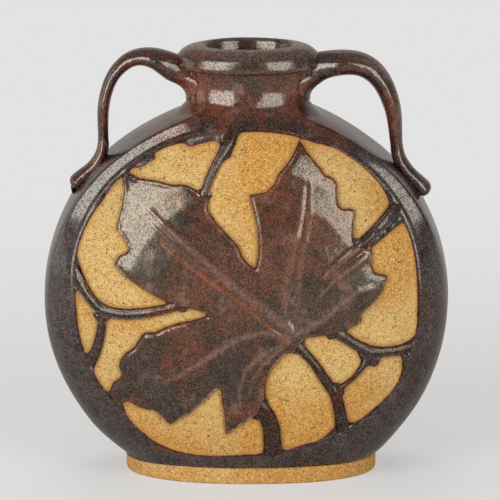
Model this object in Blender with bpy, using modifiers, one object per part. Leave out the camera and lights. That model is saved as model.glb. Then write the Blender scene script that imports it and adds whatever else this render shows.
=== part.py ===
"""A two-handled stoneware moon flask with a maple leaf in relief on each face.

The flask is made the way a potter builds one: two dished halves joined rim to
rim, a floor slab and a foot ring under them, an oval neck with a rolled collar,
two pulled strap handles, and on each face a sunk panel of bare clay that holds
a leaf and the stems round it.

Metres, +Z up. The origin is under the middle of the foot, the front looks
along -Y, and the back carries the same design turned half round.
"""
import math

import bmesh
import bpy
from mathutils import Matrix

MM = 0.001
GAP = 0.3 * MM                      # left between pieces that touch

# The foot ring
FOOT_HALF_WIDTH = 71.5 * MM
FOOT_HEIGHT = 8.7 * MM
FOOT_RING_WIDTH = 18.0 * MM
FOOT_STEP = 1.2 * MM                # the foot stands proud of the body above it
FOOT_SHIFT = 1.5 * MM               # hand built: the foot sits a little to the right
FOOT_EDGE_BEVEL = 1.4 * MM
FOOT_SQUARENESS = 2.3               # exponent of its outline, 2 is an ellipse

# The body, two dished halves turned about the Y axis
BODY_RADIUS = 115.0 * MM
BODY_HALF_DEPTH = 56.0 * MM
BODY_SQUARENESS = 2.8               # exponent of its section
WALL = 7.0 * MM
FLOOR_THICKNESS = 6.0 * MM

# The sunk panel and the relief in it
BORDER_SIDE = 17.7 * MM             # glazed border left beside the panel
BORDER_TOP = 12.0 * MM
BORDER_BOTTOM = 8.0 * MM
PANEL_SQUARENESS = 2.2
PANEL_DEPTH = 2.6 * MM
RELIEF_PROUD = 0.8 * MM             # how far leaf and stems stand over the border
STEM_WIDTH_FACTOR = 1.0             # widens or thins every stem

# The neck, oval, flaring on to the shoulders
NECK_HALF_WIDTH = 33.5 * MM
NECK_HALF_DEPTH = 23.5 * MM
NECK_RISE = 17.2 * MM               # neck's top above the body's rim
NECK_WALL = 6.5 * MM
NECK_TOP_FLARE = 2.2 * MM
NECK_WAIST_DROP = 0.5 * MM          # waist below the top of the body's rim
NECK_FOOT_DROP = 12.0 * MM          # foot of the flare below the same
NECK_FOOT_FLARE = 6.0 * MM
NECK_SHIFT = 1.0 * MM               # hand built: neck and collar sit a little to the right

# The rolled collar round the mouth
COLLAR_HALF_WIDTH = 41.0 * MM
COLLAR_HEIGHT = 13.0 * MM
COLLAR_OUTER_ROUND = 6.6 * MM
COLLAR_UNDER_ROUND = 4.6 * MM
COLLAR_LIP_ROUND = 3.2 * MM
MOUTH_HALF_WIDTH = 24.5 * MM
MOUTH_OVAL = 0.70                   # depth of the collar and mouth over their width

# The two pulled handles: which side, how far out the upright part stands, how
# high the crown's middle rises over the neck's top, half thicknesses, and the
# length of the tail pressed down on the body's rim
HANDLE_STRAP_RATIO = 1.9            # strap's width over its thickness
HANDLES = {
    "handle_left": {"side": -1, "reach": 81.5 * MM, "crown": 6.4 * MM, "half_thickness": 3.5 * MM,
                    "crown_half_thickness": 4.8 * MM, "root_half_thickness": 7.0 * MM,
                    "tail": 28.0 * MM},
    "handle_right": {"side": 1, "reach": 85.0 * MM, "crown": 3.6 * MM, "half_thickness": 4.4 * MM,
                     "crown_half_thickness": 6.2 * MM, "root_half_thickness": 7.8 * MM,
                     "tail": 28.5 * MM},
}

# The handle's path. Each point is the share of the way out from the neck to the
# upright part, the share of the way down from the neck's top (for the crown, from
# its own top) to the landing on the rim, and the share of the half thickness.
ROOT_POINTS = [(-0.08, 0.14, 1.0), (0.10, 0.0, 0.85)]
CROWN_POINTS = [(0.25, 0.04, 1.05), (0.45, 0.0, 1.0), (0.66, 0.06, 0.92)]
UPRIGHT_POINTS = [(0.83, 0.11, 1.14), (0.95, 0.36, 1.05), (1.0, 0.68, 1.0), (1.0, 0.93, 1.1)]
# The tail: share of its length, lift off the rim and swell, in half thicknesses
TAIL_POINTS = [(0.28, 0.2, 1.1), (0.55, 0.1, 1.05), (0.85, 0.35, 1.12), (1.0, 0.45, 0.85)]
HANDLE_SEAT_LIFT = 0.55             # lift of the landing, in half thicknesses

# Smoothness of the turned and lofted shapes
BODY_SEGMENTS = 60
BODY_STEPS = 9
OVAL_SEGMENTS = 40
ARC_STEPS = 4

# Sizes worked out from the ones above
BODY_FLAT_HALF_WIDTH = FOOT_HALF_WIDTH - FOOT_STEP
BODY_CUT = math.sqrt(BODY_RADIUS ** 2 - BODY_FLAT_HALF_WIDTH ** 2)
BODY_BOTTOM = FOOT_HEIGHT + GAP
BODY_CENTRE = BODY_BOTTOM + BODY_CUT
BODY_TOP = BODY_CENTRE + BODY_RADIUS
PANEL_HALF_WIDTH = BODY_RADIUS - BORDER_SIDE
PANEL_TOP = BODY_TOP - BORDER_TOP
PANEL_BOTTOM = BODY_BOTTOM + BORDER_BOTTOM
PANEL_HALF_HEIGHT = (PANEL_TOP - PANEL_BOTTOM) / 2
PANEL_CENTRE = (PANEL_TOP + PANEL_BOTTOM) / 2
NECK_TOP = BODY_TOP + NECK_RISE
BORE_HALF_WIDTH = NECK_HALF_WIDTH - NECK_WALL
BORE_HALF_DEPTH = NECK_HALF_DEPTH - NECK_WALL
COLLAR_BOTTOM = NECK_TOP + GAP
COLLAR_TOP = COLLAR_BOTTOM + COLLAR_HEIGHT

# Colours, from the fired pot
IRON_GLAZE = {"colour": (0.085, 0.045, 0.035, 1.0), "roughness": 0.38}
OCHRE_CLAY = {"colour": (0.62, 0.39, 0.16, 1.0), "roughness": 0.9}

# The drawing of the leaf and stems, in millimetres from the panel's middle,
# x to the right and z up, made for a panel of this half width and half height
DRAWING_HALF_WIDTH = 97.3
DRAWING_HALF_HEIGHT = 93.0

# The leaf's outline, clockwise from the tip of the top lobe
TOP_LOBE_RIGHT = [
    (30, 86), (34, 80.5), (40.5, 72.7), (44, 68.2), (48, 66.7), (50.3, 63.5), (50, 58.5),
    (51, 52.5), (53.5, 49.7), (58.8, 49.7), (60.6, 48.6), (59.6, 43.2), (59.2, 32),
]
RIGHT_LOBE = [
    (65.5, 28.5), (70, 25.4), (69.5, 18.7), (71.7, 13.6), (79, 11.3), (78, 8), (75.4, 1.8),
    (71.8, -2.4), (66, -7.2), (64, -10), (64, -14), (58.5, -16.6), (53.3, -18.6),
]
LEAF_BASE = [
    (42.2, -21), (33.6, -21.8), (30.5, -24.5), (26.8, -30), (22, -31), (16.6, -36),
    (12.5, -42), (10.5, -48), (10.1, -57.4),
]
LOWER_LOBE = [
    (6.2, -67), (3, -68.4), (-3.4, -73), (-11.3, -79), (-12, -68.5), (-13.5, -58), (-14.2, -49.7),
]
LOWER_LEFT_LOBE = [
    (-17.7, -52.4), (-25, -59.4), (-32, -66.5), (-38, -69.8), (-43, -74), (-48, -69.5),
    (-50.8, -65.7), (-56, -65.5), (-61, -64), (-67.3, -60.5), (-74, -63.2), (-77.5, -58),
    (-75, -50.8), (-70.8, -47.5), (-69.7, -45.2), (-71.5, -41.4), (-71, -36.8), (-67.8, -32.8),
    (-62.8, -28.8), (-60, -24.2), (-57.7, -20.4), (-50.6, -19.8), (-46.2, -17), (-37.6, -14),
    (-29, -12), (-21.8, -9.8),
]
UPPER_LEFT_LOBE = [
    (-23.5, -6.8), (-29.2, -5.2), (-36, -3.6), (-47.6, 0), (-57.6, 5.6), (-69, 13),
    (-73.6, 18.4), (-71.2, 22.9), (-66.5, 25.7), (-65.4, 27.5), (-66.8, 31), (-69.7, 35.6),
    (-72.5, 38.2), (-71, 44.5), (-69, 52.2), (-68, 59), (-69.5, 68.5), (-60.4, 65.6),
    (-49.7, 65), (-41.8, 63.3), (-36, 63.8), (-31.8, 62.9), (-27.6, 60.3), (-21.5, 57),
    (-22, 50), (-17.6, 43.7), (-10.5, 36), (-4.8, 30.3), (-2.7, 24.5), (1.6, 19.5),
]
TOP_LOBE_LEFT = [
    (5.2, 17), (7.2, 24.5), (7.2, 31.7), (6.6, 40.2), (4.8, 48.7), (2.3, 58.5), (10.8, 59.8),
    (15.8, 63.9), (18, 69.3), (23.6, 75.3), (27.2, 80.5),
]
LEAF_OUTLINE = (TOP_LOBE_RIGHT + RIGHT_LOBE + LEAF_BASE + LOWER_LOBE
                + LOWER_LEFT_LOBE + UPPER_LEFT_LOBE + TOP_LOBE_LEFT)

# The stems: each point is x, z and the half width there. A stem that meets the
# border starts or ends past it, and the border then trims it.
STEMS = {
    "stem_top": {
        "line": [(-3, 104, 3.4), (-8, 91.4, 3.0), (-12, 83, 2.2), (-16.4, 76, 1.9),
                 (-20.8, 67, 1.8), (-24.6, 56, 1.7)],
        "yields_to": []},
    "stem_left": {
        "line": [(-104, 33, 2.6), (-99, 21, 2.6), (-95, 10.8, 2.7), (-90, 0.7, 2.8),
                 (-82.6, -7, 2.9), (-72, -9.7, 2.9), (-59.5, -8.8, 2.7), (-45.5, -6, 2.4),
                 (-36, -3, 1.8), (-30, -0.5, 1.4)],
        "yields_to": []},
    "stem_left_fork": {
        "line": [(-81.3, -8.6, 2.2), (-81.9, -19, 2.1), (-83.8, -28, 2.2), (-87, -37.5, 2.5),
                 (-93, -48, 3.0)],
        "yields_to": ["stem_left"]},
    "stem_bottom": {
        "line": [(4, -60, 4.0), (9.5, -65.5, 4.3), (13.2, -73, 4.4), (14.6, -82, 4.5),
                 (14.6, -104, 4.8)],
        "yields_to": []},
    "stem_petiole": {
        "line": [(24, -22, 2.2), (31, -29.5, 2.2), (38, -37.5, 2.2), (44, -47, 2.4),
                 (50, -56.5, 2.7), (52.6, -66.3, 2.9), (53.8, -77.7, 3.1), (56, -94, 3.4)],
        "yields_to": []},
    "stem_right_low": {
        "line": [(45, -16.8, 2.6), (54.5, -22, 2.6), (62, -27.4, 2.7), (70.5, -31.6, 2.8),
                 (80, -32.6, 2.6), (90, -31.6, 2.7), (104, -25.5, 2.9)],
        "yields_to": []},
    "stem_right_fork": {
        "line": [(69.6, -32.2, 2.6), (66, -39.2, 1.5), (61.6, -45.5, 1.0), (55.4, -50.8, 1.1),
                 (49.4, -55.2, 1.6)],
        "yields_to": ["stem_right_low", "stem_petiole"]},
    "stem_right": {
        "line": [(56.5, 24, 3.2), (63, 28.8, 3.1), (68, 32.8, 3.0), (75, 39, 3.1),
                 (82, 46, 3.3), (92, 56, 3.6)],
        "yields_to": []},
}
STEM_SUBDIVISIONS = 2               # points added between two of a stem's own

FACES = {"front": 0.0, "back": math.pi}

# Where the outline prisms of a face start and end, measured out from the seam
PRISM_NEAR = 15.0 * MM
PRISM_FAR = BODY_HALF_DEPTH + 20.0 * MM
PRISM_SPARE = 5.0 * MM


def clear_scene():
    """Remove whatever the file holds, so that only the flask is left."""
    for item in list(bpy.data.objects):
        bpy.data.objects.remove(item, do_unlink=True)


def new_collection(name):
    """A collection of that name, linked to the scene."""
    collection = bpy.data.collections.new(name)
    bpy.context.scene.collection.children.link(collection)
    return collection


def finish_material(name, finish):
    """A Principled material of one fired surface."""
    material = bpy.data.materials.new(name)
    material.use_nodes = True
    shader = material.node_tree.nodes["Principled BSDF"]
    shader.inputs["Base Color"].default_value = finish["colour"]
    shader.inputs["Roughness"].default_value = finish["roughness"]
    shader.inputs["Metallic"].default_value = 0.0
    return material


def add_object(name, mesh, finish):
    """A piece of the flask, with its own material."""
    piece = bpy.data.objects.new(name, mesh)
    mesh.materials.append(finish_material(name + "_finish", finish))
    PIECES.objects.link(piece)
    return piece


def add_cutter(name, mesh, finish=IRON_GLAZE):
    """A shape that only cuts or bounds others."""
    cutter = bpy.data.objects.new(name, mesh)
    mesh.materials.append(finish_material(name + "_finish", finish))
    cutter.hide_render = True
    cutter.display_type = 'WIRE'
    CUTTERS.objects.link(cutter)
    return cutter


def smooth(mesh):
    """Smooth shading with the sharp edges kept."""
    mesh.shade_smooth()
    mesh.set_sharp_from_angle(angle=math.radians(35))


def boolean(target, operation, other):
    """Cut, join or bound one object by another."""
    modifier = target.modifiers.new(operation.lower() + "_" + other.name, 'BOOLEAN')
    modifier.operation = operation
    modifier.object = other
    modifier.solver = 'EXACT'
    modifier.material_mode = 'TRANSFER'


def superellipse_arc(half_width, half_height, exponent, steps):
    """The quarter arc of a superellipse, from its width's end to its height's end."""
    points = []
    for step in range(steps + 1):
        angle = math.pi / 2 * step / steps
        across = half_width * abs(math.cos(angle)) ** (2 / exponent)
        up = half_height * abs(math.sin(angle)) ** (2 / exponent)
        points.append((across, up))
    points[-1] = (0.0, half_height)
    return points


def superellipse_loop(half_width, half_height, exponent, segments):
    """A whole superellipse as a closed loop of points."""
    points = []
    for segment in range(segments):
        angle = 2 * math.pi * segment / segments
        cosine = math.cos(angle)
        sine = math.sin(angle)
        across = math.copysign(half_width * abs(cosine) ** (2 / exponent), cosine)
        up = math.copysign(half_height * abs(sine) ** (2 / exponent), sine)
        points.append((across, up))
    return points


def body_half_depth_at(distance):
    """Half depth of the body at a distance from its axis."""
    share = 1 - (distance / BODY_RADIUS) ** BODY_SQUARENESS
    return BODY_HALF_DEPTH * share ** (1 / BODY_SQUARENESS)


def turned(name, profile, closed, segments):
    """The mesh of a profile and the Screw modifier that turns it about local Z."""
    mesh = bpy.data.meshes.new(name)
    builder = bmesh.new()
    vertices = [builder.verts.new((radius, 0, height)) for radius, height in profile]
    for first, second in zip(vertices, vertices[1:]):
        builder.edges.new((first, second))
    if closed:
        builder.edges.new((vertices[-1], vertices[0]))
    builder.to_mesh(mesh)
    builder.free()

    def turn(owner):
        screw = owner.modifiers.new("turn", 'SCREW')
        screw.axis = 'Z'
        screw.angle = 2 * math.pi
        screw.steps = segments
        screw.render_steps = segments
        screw.use_merge_vertices = True
        screw.merge_threshold = 0.00001
        screw.use_smooth_shade = True
    return mesh, turn


def dome_profile(offset):
    """Outer half section of the body moved out by an offset, apex first."""
    arc = superellipse_arc(BODY_RADIUS + offset, BODY_HALF_DEPTH + offset,
                           BODY_SQUARENESS, BODY_STEPS)
    return list(reversed(arc))


def place_on_axis(item, turn):
    """Put a turned shape on the body's axis, its local Z pointing out of a face."""
    item.location = (0, 0, BODY_CENTRE)
    item.rotation_euler = (math.pi / 2, 0, turn)


def half_shell(name, turn):
    """One dished half: out along the section, over the rim and back inside."""
    outer = dome_profile(0)
    inner = dome_profile(-WALL)
    outer[-1] = (outer[-1][0], GAP / 2)
    inner[-1] = (inner[-1][0], GAP / 2)
    mesh, add_turn = turned(name, outer + list(reversed(inner)), False, BODY_SEGMENTS)
    shell = add_object(name, mesh, IRON_GLAZE)
    add_turn(shell)
    place_on_axis(shell, turn)
    return shell


def dome_cutter(name, offset, turn):
    """Half of the body's solid, moved out by an offset and closed at the seam."""
    profile = dome_profile(offset) + [(0.0, 0.0)]
    mesh, add_turn = turned(name, profile, False, BODY_SEGMENTS)
    cutter = add_cutter(name, mesh, OCHRE_CLAY)
    add_turn(cutter)
    place_on_axis(cutter, turn)
    return cutter


def body_cutter(name, offset):
    """The whole body's solid, both halves, moved out by an offset."""
    upper = dome_profile(offset)
    lower = [(radius, -height) for radius, height in reversed(upper[:-1])]
    mesh, add_turn = turned(name, upper + lower, False, BODY_SEGMENTS)
    cutter = add_cutter(name, mesh)
    add_turn(cutter)
    place_on_axis(cutter, 0.0)
    return cutter


def curve_to_mesh(curve_object):
    """The evaluated mesh of a curve, with its loose caps welded."""
    graph = bpy.context.evaluated_depsgraph_get()
    mesh = bpy.data.meshes.new_from_object(curve_object.evaluated_get(graph))
    builder = bmesh.new()
    builder.from_mesh(mesh)
    bmesh.ops.remove_doubles(builder, verts=builder.verts, dist=0.00001)
    bmesh.ops.recalc_face_normals(builder, faces=builder.faces)
    builder.to_mesh(mesh)
    builder.free()
    return mesh


def extruded_loops(name, loops, thickness):
    """The mesh of flat outlines, filled and extruded about their own plane."""
    curve = bpy.data.curves.new(name, 'CURVE')
    curve.dimensions = '2D'
    curve.fill_mode = 'BOTH'
    curve.extrude = thickness / 2
    for loop in loops:
        spline = curve.splines.new('POLY')
        spline.points.add(len(loop) - 1)
        spline.use_cyclic_u = True
        for point, (across, up) in zip(spline.points, loop):
            point.co = (across, up, 0, 1)
    curve_object = bpy.data.objects.new(name + "_curve", curve)
    CUTTERS.objects.link(curve_object)
    bpy.context.view_layer.update()
    mesh = curve_to_mesh(curve_object)
    bpy.data.objects.remove(curve_object, do_unlink=True)
    return mesh


def face_prism_mesh(name, outline, spare):
    """A prism through a face's wall, longer by a spare length at both ends."""
    mesh = extruded_loops(name, [outline], PRISM_FAR - PRISM_NEAR + 2 * spare)
    mesh.transform(Matrix.Translation((0, 0, (PRISM_FAR + PRISM_NEAR) / 2)))
    return mesh


def place_on_face(item, turn):
    """Put a drawn shape on a face, about the panel's middle."""
    item.location = (0, 0, PANEL_CENTRE)
    item.rotation_euler = (math.pi / 2, 0, turn)


def panel_outline(inset):
    """The sunk panel's outline, drawn in by an inset."""
    return superellipse_loop(PANEL_HALF_WIDTH - inset, PANEL_HALF_HEIGHT - inset,
                             PANEL_SQUARENESS, BODY_SEGMENTS + 12)


def offset_outline(points, distance):
    """A clockwise outline moved outwards by a distance, corners mitred."""
    moved = []
    count = len(points)
    for index, (across, up) in enumerate(points):
        before = points[index - 1]
        after = points[(index + 1) % count]
        first = unit(across - before[0], up - before[1])
        second = unit(after[0] - across, after[1] - up)
        normal = unit(-first[1] - second[1], first[0] + second[0])
        spread = max(0.5, normal[0] * -first[1] + normal[1] * first[0])
        reach = distance / spread
        moved.append((across + normal[0] * reach, up + normal[1] * reach))
    return moved


def unit(across, up):
    """A direction of length one."""
    length = math.hypot(across, up)
    return across / length, up / length


def from_drawing(point):
    """A point of the drawing in metres, stretched with the panel."""
    across = point[0] * PANEL_HALF_WIDTH / DRAWING_HALF_WIDTH
    up = point[1] * PANEL_HALF_HEIGHT / DRAWING_HALF_HEIGHT
    return across, up


def leaf_outline(offset):
    """The leaf's outline in metres, moved outwards by an offset."""
    return offset_outline([from_drawing(point) for point in LEAF_OUTLINE], offset)


def smooth_line(line):
    """A stem's points with Catmull-Rom points added between them."""
    padded = [line[0]] + list(line) + [line[-1]]
    points = []
    pieces = STEM_SUBDIVISIONS + 1
    for index in range(1, len(padded) - 2):
        for step in range(pieces):
            share = step / pieces
            points.append(tuple(
                catmull_rom(share, *(padded[index + shift][axis] for shift in (-1, 0, 1, 2)))
                for axis in range(3)))
    points.append(line[-1])
    return points


def catmull_rom(share, before, start, end, after):
    """A value on the smooth curve between start and end."""
    return 0.5 * (2 * start + (end - before) * share
                  + (2 * before - 5 * start + 4 * end - after) * share ** 2
                  + (3 * start - before - 3 * end + after) * share ** 3)


def stem_outline(name, offset):
    """The ribbon of a stem as a clockwise outline, moved outwards by an offset."""
    points = smooth_line(STEMS[name]["line"])
    left_side = []
    right_side = []
    for index, point in enumerate(points):
        before = points[max(index - 1, 0)]
        after = points[min(index + 1, len(points) - 1)]
        start = from_drawing(before)
        end = from_drawing(after)
        along = unit(end[0] - start[0], end[1] - start[1])
        across, up = from_drawing(point)
        half = point[2] * MM * STEM_WIDTH_FACTOR + offset
        left_side.append((across - along[1] * half, up + along[0] * half))
        right_side.append((across + along[1] * half, up - along[0] * half))
    return left_side + list(reversed(right_side))


def relief_piece(name, outline, bound, turn):
    """A piece of the relief: its outline's prism kept inside the panel's space."""
    piece = add_object(name, face_prism_mesh(name, outline, 0), IRON_GLAZE)
    place_on_face(piece, turn)
    boolean(piece, 'INTERSECT', bound)
    return piece


def clearance_prism(name, outline, turn):
    """What a neighbour leaves free round a piece of the relief."""
    cutter = add_cutter(name, face_prism_mesh(name, outline, PRISM_SPARE))
    place_on_face(cutter, turn)
    return cutter


def panel_recess(face, turn):
    """The sunk panel as a cutter: a prism without the body left under it."""
    name = face + "_recess"
    cutter = add_cutter(name, face_prism_mesh(name, panel_outline(0), 0), OCHRE_CLAY)
    place_on_face(cutter, turn)
    boolean(cutter, 'DIFFERENCE', dome_cutter(face + "_ground", -PANEL_DEPTH, turn))
    return cutter


def panel_space(face, turn):
    """The space in the panel that the leaf and stems may fill."""
    name = face + "_relief_space"
    bound = add_cutter(name, face_prism_mesh(name, panel_outline(GAP), 0))
    place_on_face(bound, turn)
    boolean(bound, 'INTERSECT', dome_cutter(face + "_relief_skin", RELIEF_PROUD, turn))
    boolean(bound, 'DIFFERENCE', dome_cutter(face + "_ground_clearance", GAP - PANEL_DEPTH, turn))
    return bound


def build_face(face, turn):
    """The shell, leaf and stems of one face."""
    shell = half_shell(face + "_shell", turn)
    boolean(shell, 'DIFFERENCE', panel_recess(face, turn))
    boolean(shell, 'DIFFERENCE', NECK_BORE)
    boolean(shell, 'DIFFERENCE', FLAT_CUT)
    bound = panel_space(face, turn)
    relief_piece(face + "_leaf", leaf_outline(0), bound, turn)
    leaf_clearance = clearance_prism(face + "_leaf_clearance", leaf_outline(GAP), turn)
    clearances = {}
    for stem, drawing in STEMS.items():
        name = face + "_" + stem
        piece = relief_piece(name, stem_outline(stem, 0), bound, turn)
        boolean(piece, 'DIFFERENCE', leaf_clearance)
        for neighbour in drawing["yields_to"]:
            boolean(piece, 'DIFFERENCE', clearances[neighbour])
        clearances[stem] = clearance_prism(name + "_clearance", stem_outline(stem, GAP), turn)


def box(name, low, high):
    """A box cutter between two corners."""
    mesh = bpy.data.meshes.new(name)
    builder = bmesh.new()
    bmesh.ops.create_cube(builder, size=1.0)
    size = [top - bottom for bottom, top in zip(low, high)]
    middle = [(top + bottom) / 2 for bottom, top in zip(low, high)]
    bmesh.ops.scale(builder, vec=size, verts=builder.verts)
    bmesh.ops.translate(builder, vec=middle, verts=builder.verts)
    builder.to_mesh(mesh)
    builder.free()
    return mesh


def loft(name, rings, exponent, closed):
    """A wall through level rings of half width, half depth and height.

    A closed loft runs from the last ring back to the first, as a tube with a
    wall does; an open one is capped at its two ends.
    """
    mesh = bpy.data.meshes.new(name)
    builder = bmesh.new()
    loops = []
    for half_width, half_depth, height in rings:
        outline = superellipse_loop(half_width, half_depth, exponent, OVAL_SEGMENTS)
        loops.append([builder.verts.new((across, deep, height)) for across, deep in outline])
    pairs = list(zip(loops, loops[1:]))
    if closed:
        pairs.append((loops[-1], loops[0]))
    else:
        builder.faces.new(loops[0])
        builder.faces.new(list(reversed(loops[-1])))
    for upper, lower in pairs:
        for index in range(OVAL_SEGMENTS):
            after = (index + 1) % OVAL_SEGMENTS
            builder.faces.new((upper[index], lower[index], lower[after], upper[after]))
    bmesh.ops.recalc_face_normals(builder, faces=builder.faces)
    builder.to_mesh(mesh)
    builder.free()
    smooth(mesh)
    return mesh


def neck_outer_rings(offset):
    """The neck's outside from under the collar to the foot of its flare."""
    waist = BODY_TOP - NECK_WAIST_DROP
    foot = BODY_TOP - NECK_FOOT_DROP
    rings = []
    for step in range(ARC_STEPS):
        share = step / ARC_STEPS
        flare = NECK_TOP_FLARE * (1 - share) ** 2 + offset
        height = NECK_TOP + offset * (step == 0) + (waist - NECK_TOP) * share
        rings.append((NECK_HALF_WIDTH + flare, NECK_HALF_DEPTH + flare, height))
    for step in range(ARC_STEPS + 1):
        drop = step / ARC_STEPS
        flare = NECK_FOOT_FLARE * drop ** 2 + offset
        rings.append((NECK_HALF_WIDTH + flare, NECK_HALF_DEPTH + flare,
                      waist + (foot - waist) * drop))
    return rings


def build_neck():
    """The neck: flared outside, straight oval bore, scribed to the shoulders."""
    outer = neck_outer_rings(0)
    bottom = outer[-1][2]
    bore = [(BORE_HALF_WIDTH, BORE_HALF_DEPTH, bottom), (BORE_HALF_WIDTH, BORE_HALF_DEPTH, NECK_TOP)]
    neck = add_object("neck", loft("neck", outer + bore, 2.0, True), IRON_GLAZE)
    neck.location.x = NECK_SHIFT
    boolean(neck, 'DIFFERENCE', BODY_CLEARANCE)


def corner(centre_x, centre_z, radius, start, end):
    """Points of a rounded corner, from one angle to another, in degrees."""
    points = []
    for step in range(ARC_STEPS + 1):
        angle = math.radians(start + (end - start) * step / ARC_STEPS)
        points.append((centre_x + radius * math.cos(angle), centre_z + radius * math.sin(angle)))
    return points


def collar_profile(offset):
    """The collar's section, its corners rounded, down the outside first."""
    out = COLLAR_HALF_WIDTH + offset
    top = COLLAR_TOP + offset
    bottom = COLLAR_BOTTOM - offset
    outer = COLLAR_OUTER_ROUND + offset
    under = COLLAR_UNDER_ROUND + offset
    profile = corner(out - outer, top - outer, outer, 90, 0)
    profile += corner(out - under, bottom + under, under, 0, -90)
    return profile


def build_collar():
    """The rolled collar: a turned ring squeezed to the mouth's oval."""
    lip = COLLAR_LIP_ROUND
    profile = collar_profile(0)
    profile += corner(MOUTH_HALF_WIDTH + lip, COLLAR_BOTTOM + lip, lip, -90, -180)
    profile += corner(MOUTH_HALF_WIDTH + lip, COLLAR_TOP - lip, lip, 180, 90)
    mesh, add_turn = turned("collar", profile, True, OVAL_SEGMENTS)
    collar = add_object("collar", mesh, IRON_GLAZE)
    add_turn(collar)
    collar.location.x = NECK_SHIFT
    collar.scale = (1, MOUTH_OVAL, 1)


def collar_cutter():
    """The collar's outer shape without its mouth, for the handles to seat on."""
    profile = collar_profile(GAP)
    profile = [(0.0, profile[0][1])] + profile + [(0.0, profile[-1][1])]
    mesh, add_turn = turned("collar_clearance", profile, False, OVAL_SEGMENTS)
    cutter = add_cutter("collar_clearance", mesh)
    add_turn(cutter)
    cutter.location.x = NECK_SHIFT
    cutter.scale = (1, MOUTH_OVAL, 1)
    return cutter


def handle_path(shape):
    """A handle's middle line: x, z and half thickness at each point."""
    reach = shape["reach"]
    thick = shape["half_thickness"]
    root_x = NECK_HALF_WIDTH + NECK_TOP_FLARE + shape["side"] * NECK_SHIFT
    span = reach - root_x
    seat = BODY_RADIUS + thick * HANDLE_SEAT_LIFT
    landing = math.acos(reach / seat)
    drop = NECK_TOP - (BODY_CENTRE + seat * math.sin(landing))
    path = []
    for points, top, half in (
            (ROOT_POINTS, NECK_TOP, shape["root_half_thickness"]),
            (CROWN_POINTS, NECK_TOP + shape["crown"], shape["crown_half_thickness"]),
            (UPRIGHT_POINTS, NECK_TOP, thick)):
        for out, down, swell in points:
            path.append((root_x + out * span, top - down * drop, half * swell))
    for share, lift, swell in TAIL_POINTS:
        angle = landing - share * shape["tail"] / BODY_RADIUS
        radius = BODY_RADIUS + thick * lift
        path.append((radius * math.cos(angle), BODY_CENTRE + radius * math.sin(angle), thick * swell))
    return path


def build_handle(name, shape):
    """A pulled strap: a tube along the path, widened front to back, then seated."""
    curve = bpy.data.curves.new(name, 'CURVE')
    curve.dimensions = '3D'
    curve.bevel_depth = 1.0
    curve.bevel_resolution = 3
    curve.use_fill_caps = True
    curve.resolution_u = 2
    path = handle_path(shape)
    spline = curve.splines.new('BEZIER')
    spline.bezier_points.add(len(path) - 1)
    for point, (across, height, half) in zip(spline.bezier_points, path):
        point.co = (shape["side"] * across, 0, height)
        point.radius = half
        point.handle_left_type = 'AUTO'
        point.handle_right_type = 'AUTO'
    curve_object = bpy.data.objects.new(name + "_curve", curve)
    CUTTERS.objects.link(curve_object)
    bpy.context.view_layer.update()
    mesh = curve_to_mesh(curve_object)
    bpy.data.objects.remove(curve_object, do_unlink=True)
    mesh.transform(Matrix.Scale(HANDLE_STRAP_RATIO, 4, (0, 1, 0)))
    smooth(mesh)
    handle = add_object(name, mesh, IRON_GLAZE)
    for neighbour in (BODY_CLEARANCE, NECK_CLEARANCE, COLLAR_CLEARANCE):
        boolean(handle, 'DIFFERENCE', neighbour)


def build_foot_ring():
    """The bare foot: an oval ring whose edges are rubbed round."""
    half_depth = body_half_depth_at(BODY_CUT) + FOOT_STEP
    outer = superellipse_loop(FOOT_HALF_WIDTH, half_depth, FOOT_SQUARENESS, OVAL_SEGMENTS)
    inner = superellipse_loop(FOOT_HALF_WIDTH - FOOT_RING_WIDTH, half_depth - FOOT_RING_WIDTH,
                              FOOT_SQUARENESS, OVAL_SEGMENTS)
    mesh = extruded_loops("foot_ring", [outer, inner], FOOT_HEIGHT)
    ring = add_object("foot_ring", mesh, OCHRE_CLAY)
    ring.location = (FOOT_SHIFT, 0, FOOT_HEIGHT / 2)
    bevel = ring.modifiers.new("rubbed edges", 'BEVEL')
    bevel.width = FOOT_EDGE_BEVEL
    bevel.segments = 2
    bevel.limit_method = 'ANGLE'
    bevel.angle_limit = math.radians(50)


def build_floor():
    """The floor slab, let into the two shells and lying on the foot ring."""
    reach = BODY_RADIUS
    low = (-reach, -reach, BODY_BOTTOM)
    high = (reach, reach, BODY_BOTTOM + FLOOR_THICKNESS)
    floor = add_object("floor_slab", box("floor_slab", low, high), OCHRE_CLAY)
    boolean(floor, 'INTERSECT', body_cutter("inner_space", -WALL - GAP))


clear_scene()
PIECES = new_collection("moon_flask")
CUTTERS = new_collection("cutters")

BODY_CLEARANCE = body_cutter("body_clearance", GAP)
NECK_CLEARANCE = add_cutter("neck_clearance", loft("neck_clearance", neck_outer_rings(GAP), 2.0, False))
COLLAR_CLEARANCE = collar_cutter()
NECK_BORE = add_cutter("neck_bore", loft("neck_bore", [
    (BORE_HALF_WIDTH, BORE_HALF_DEPTH, BODY_TOP + PRISM_SPARE),
    (BORE_HALF_WIDTH, BORE_HALF_DEPTH, BODY_TOP - 4 * WALL)], 2.0, False))
for around_neck in (NECK_CLEARANCE, NECK_BORE):
    around_neck.location.x = NECK_SHIFT
FLAT_CUT = add_cutter("flat_cut", box("flat_cut", (-BODY_RADIUS, -BODY_RADIUS, -BODY_RADIUS),
                                      (BODY_RADIUS, BODY_RADIUS, BODY_BOTTOM)))

for face_name, face_turn in FACES.items():
    build_face(face_name, face_turn)
build_floor()
build_foot_ring()
build_neck()
build_collar()
for handle_name, handle_shape in HANDLES.items():
    build_handle(handle_name, handle_shape)
bpy.context.view_layer.update()
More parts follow.
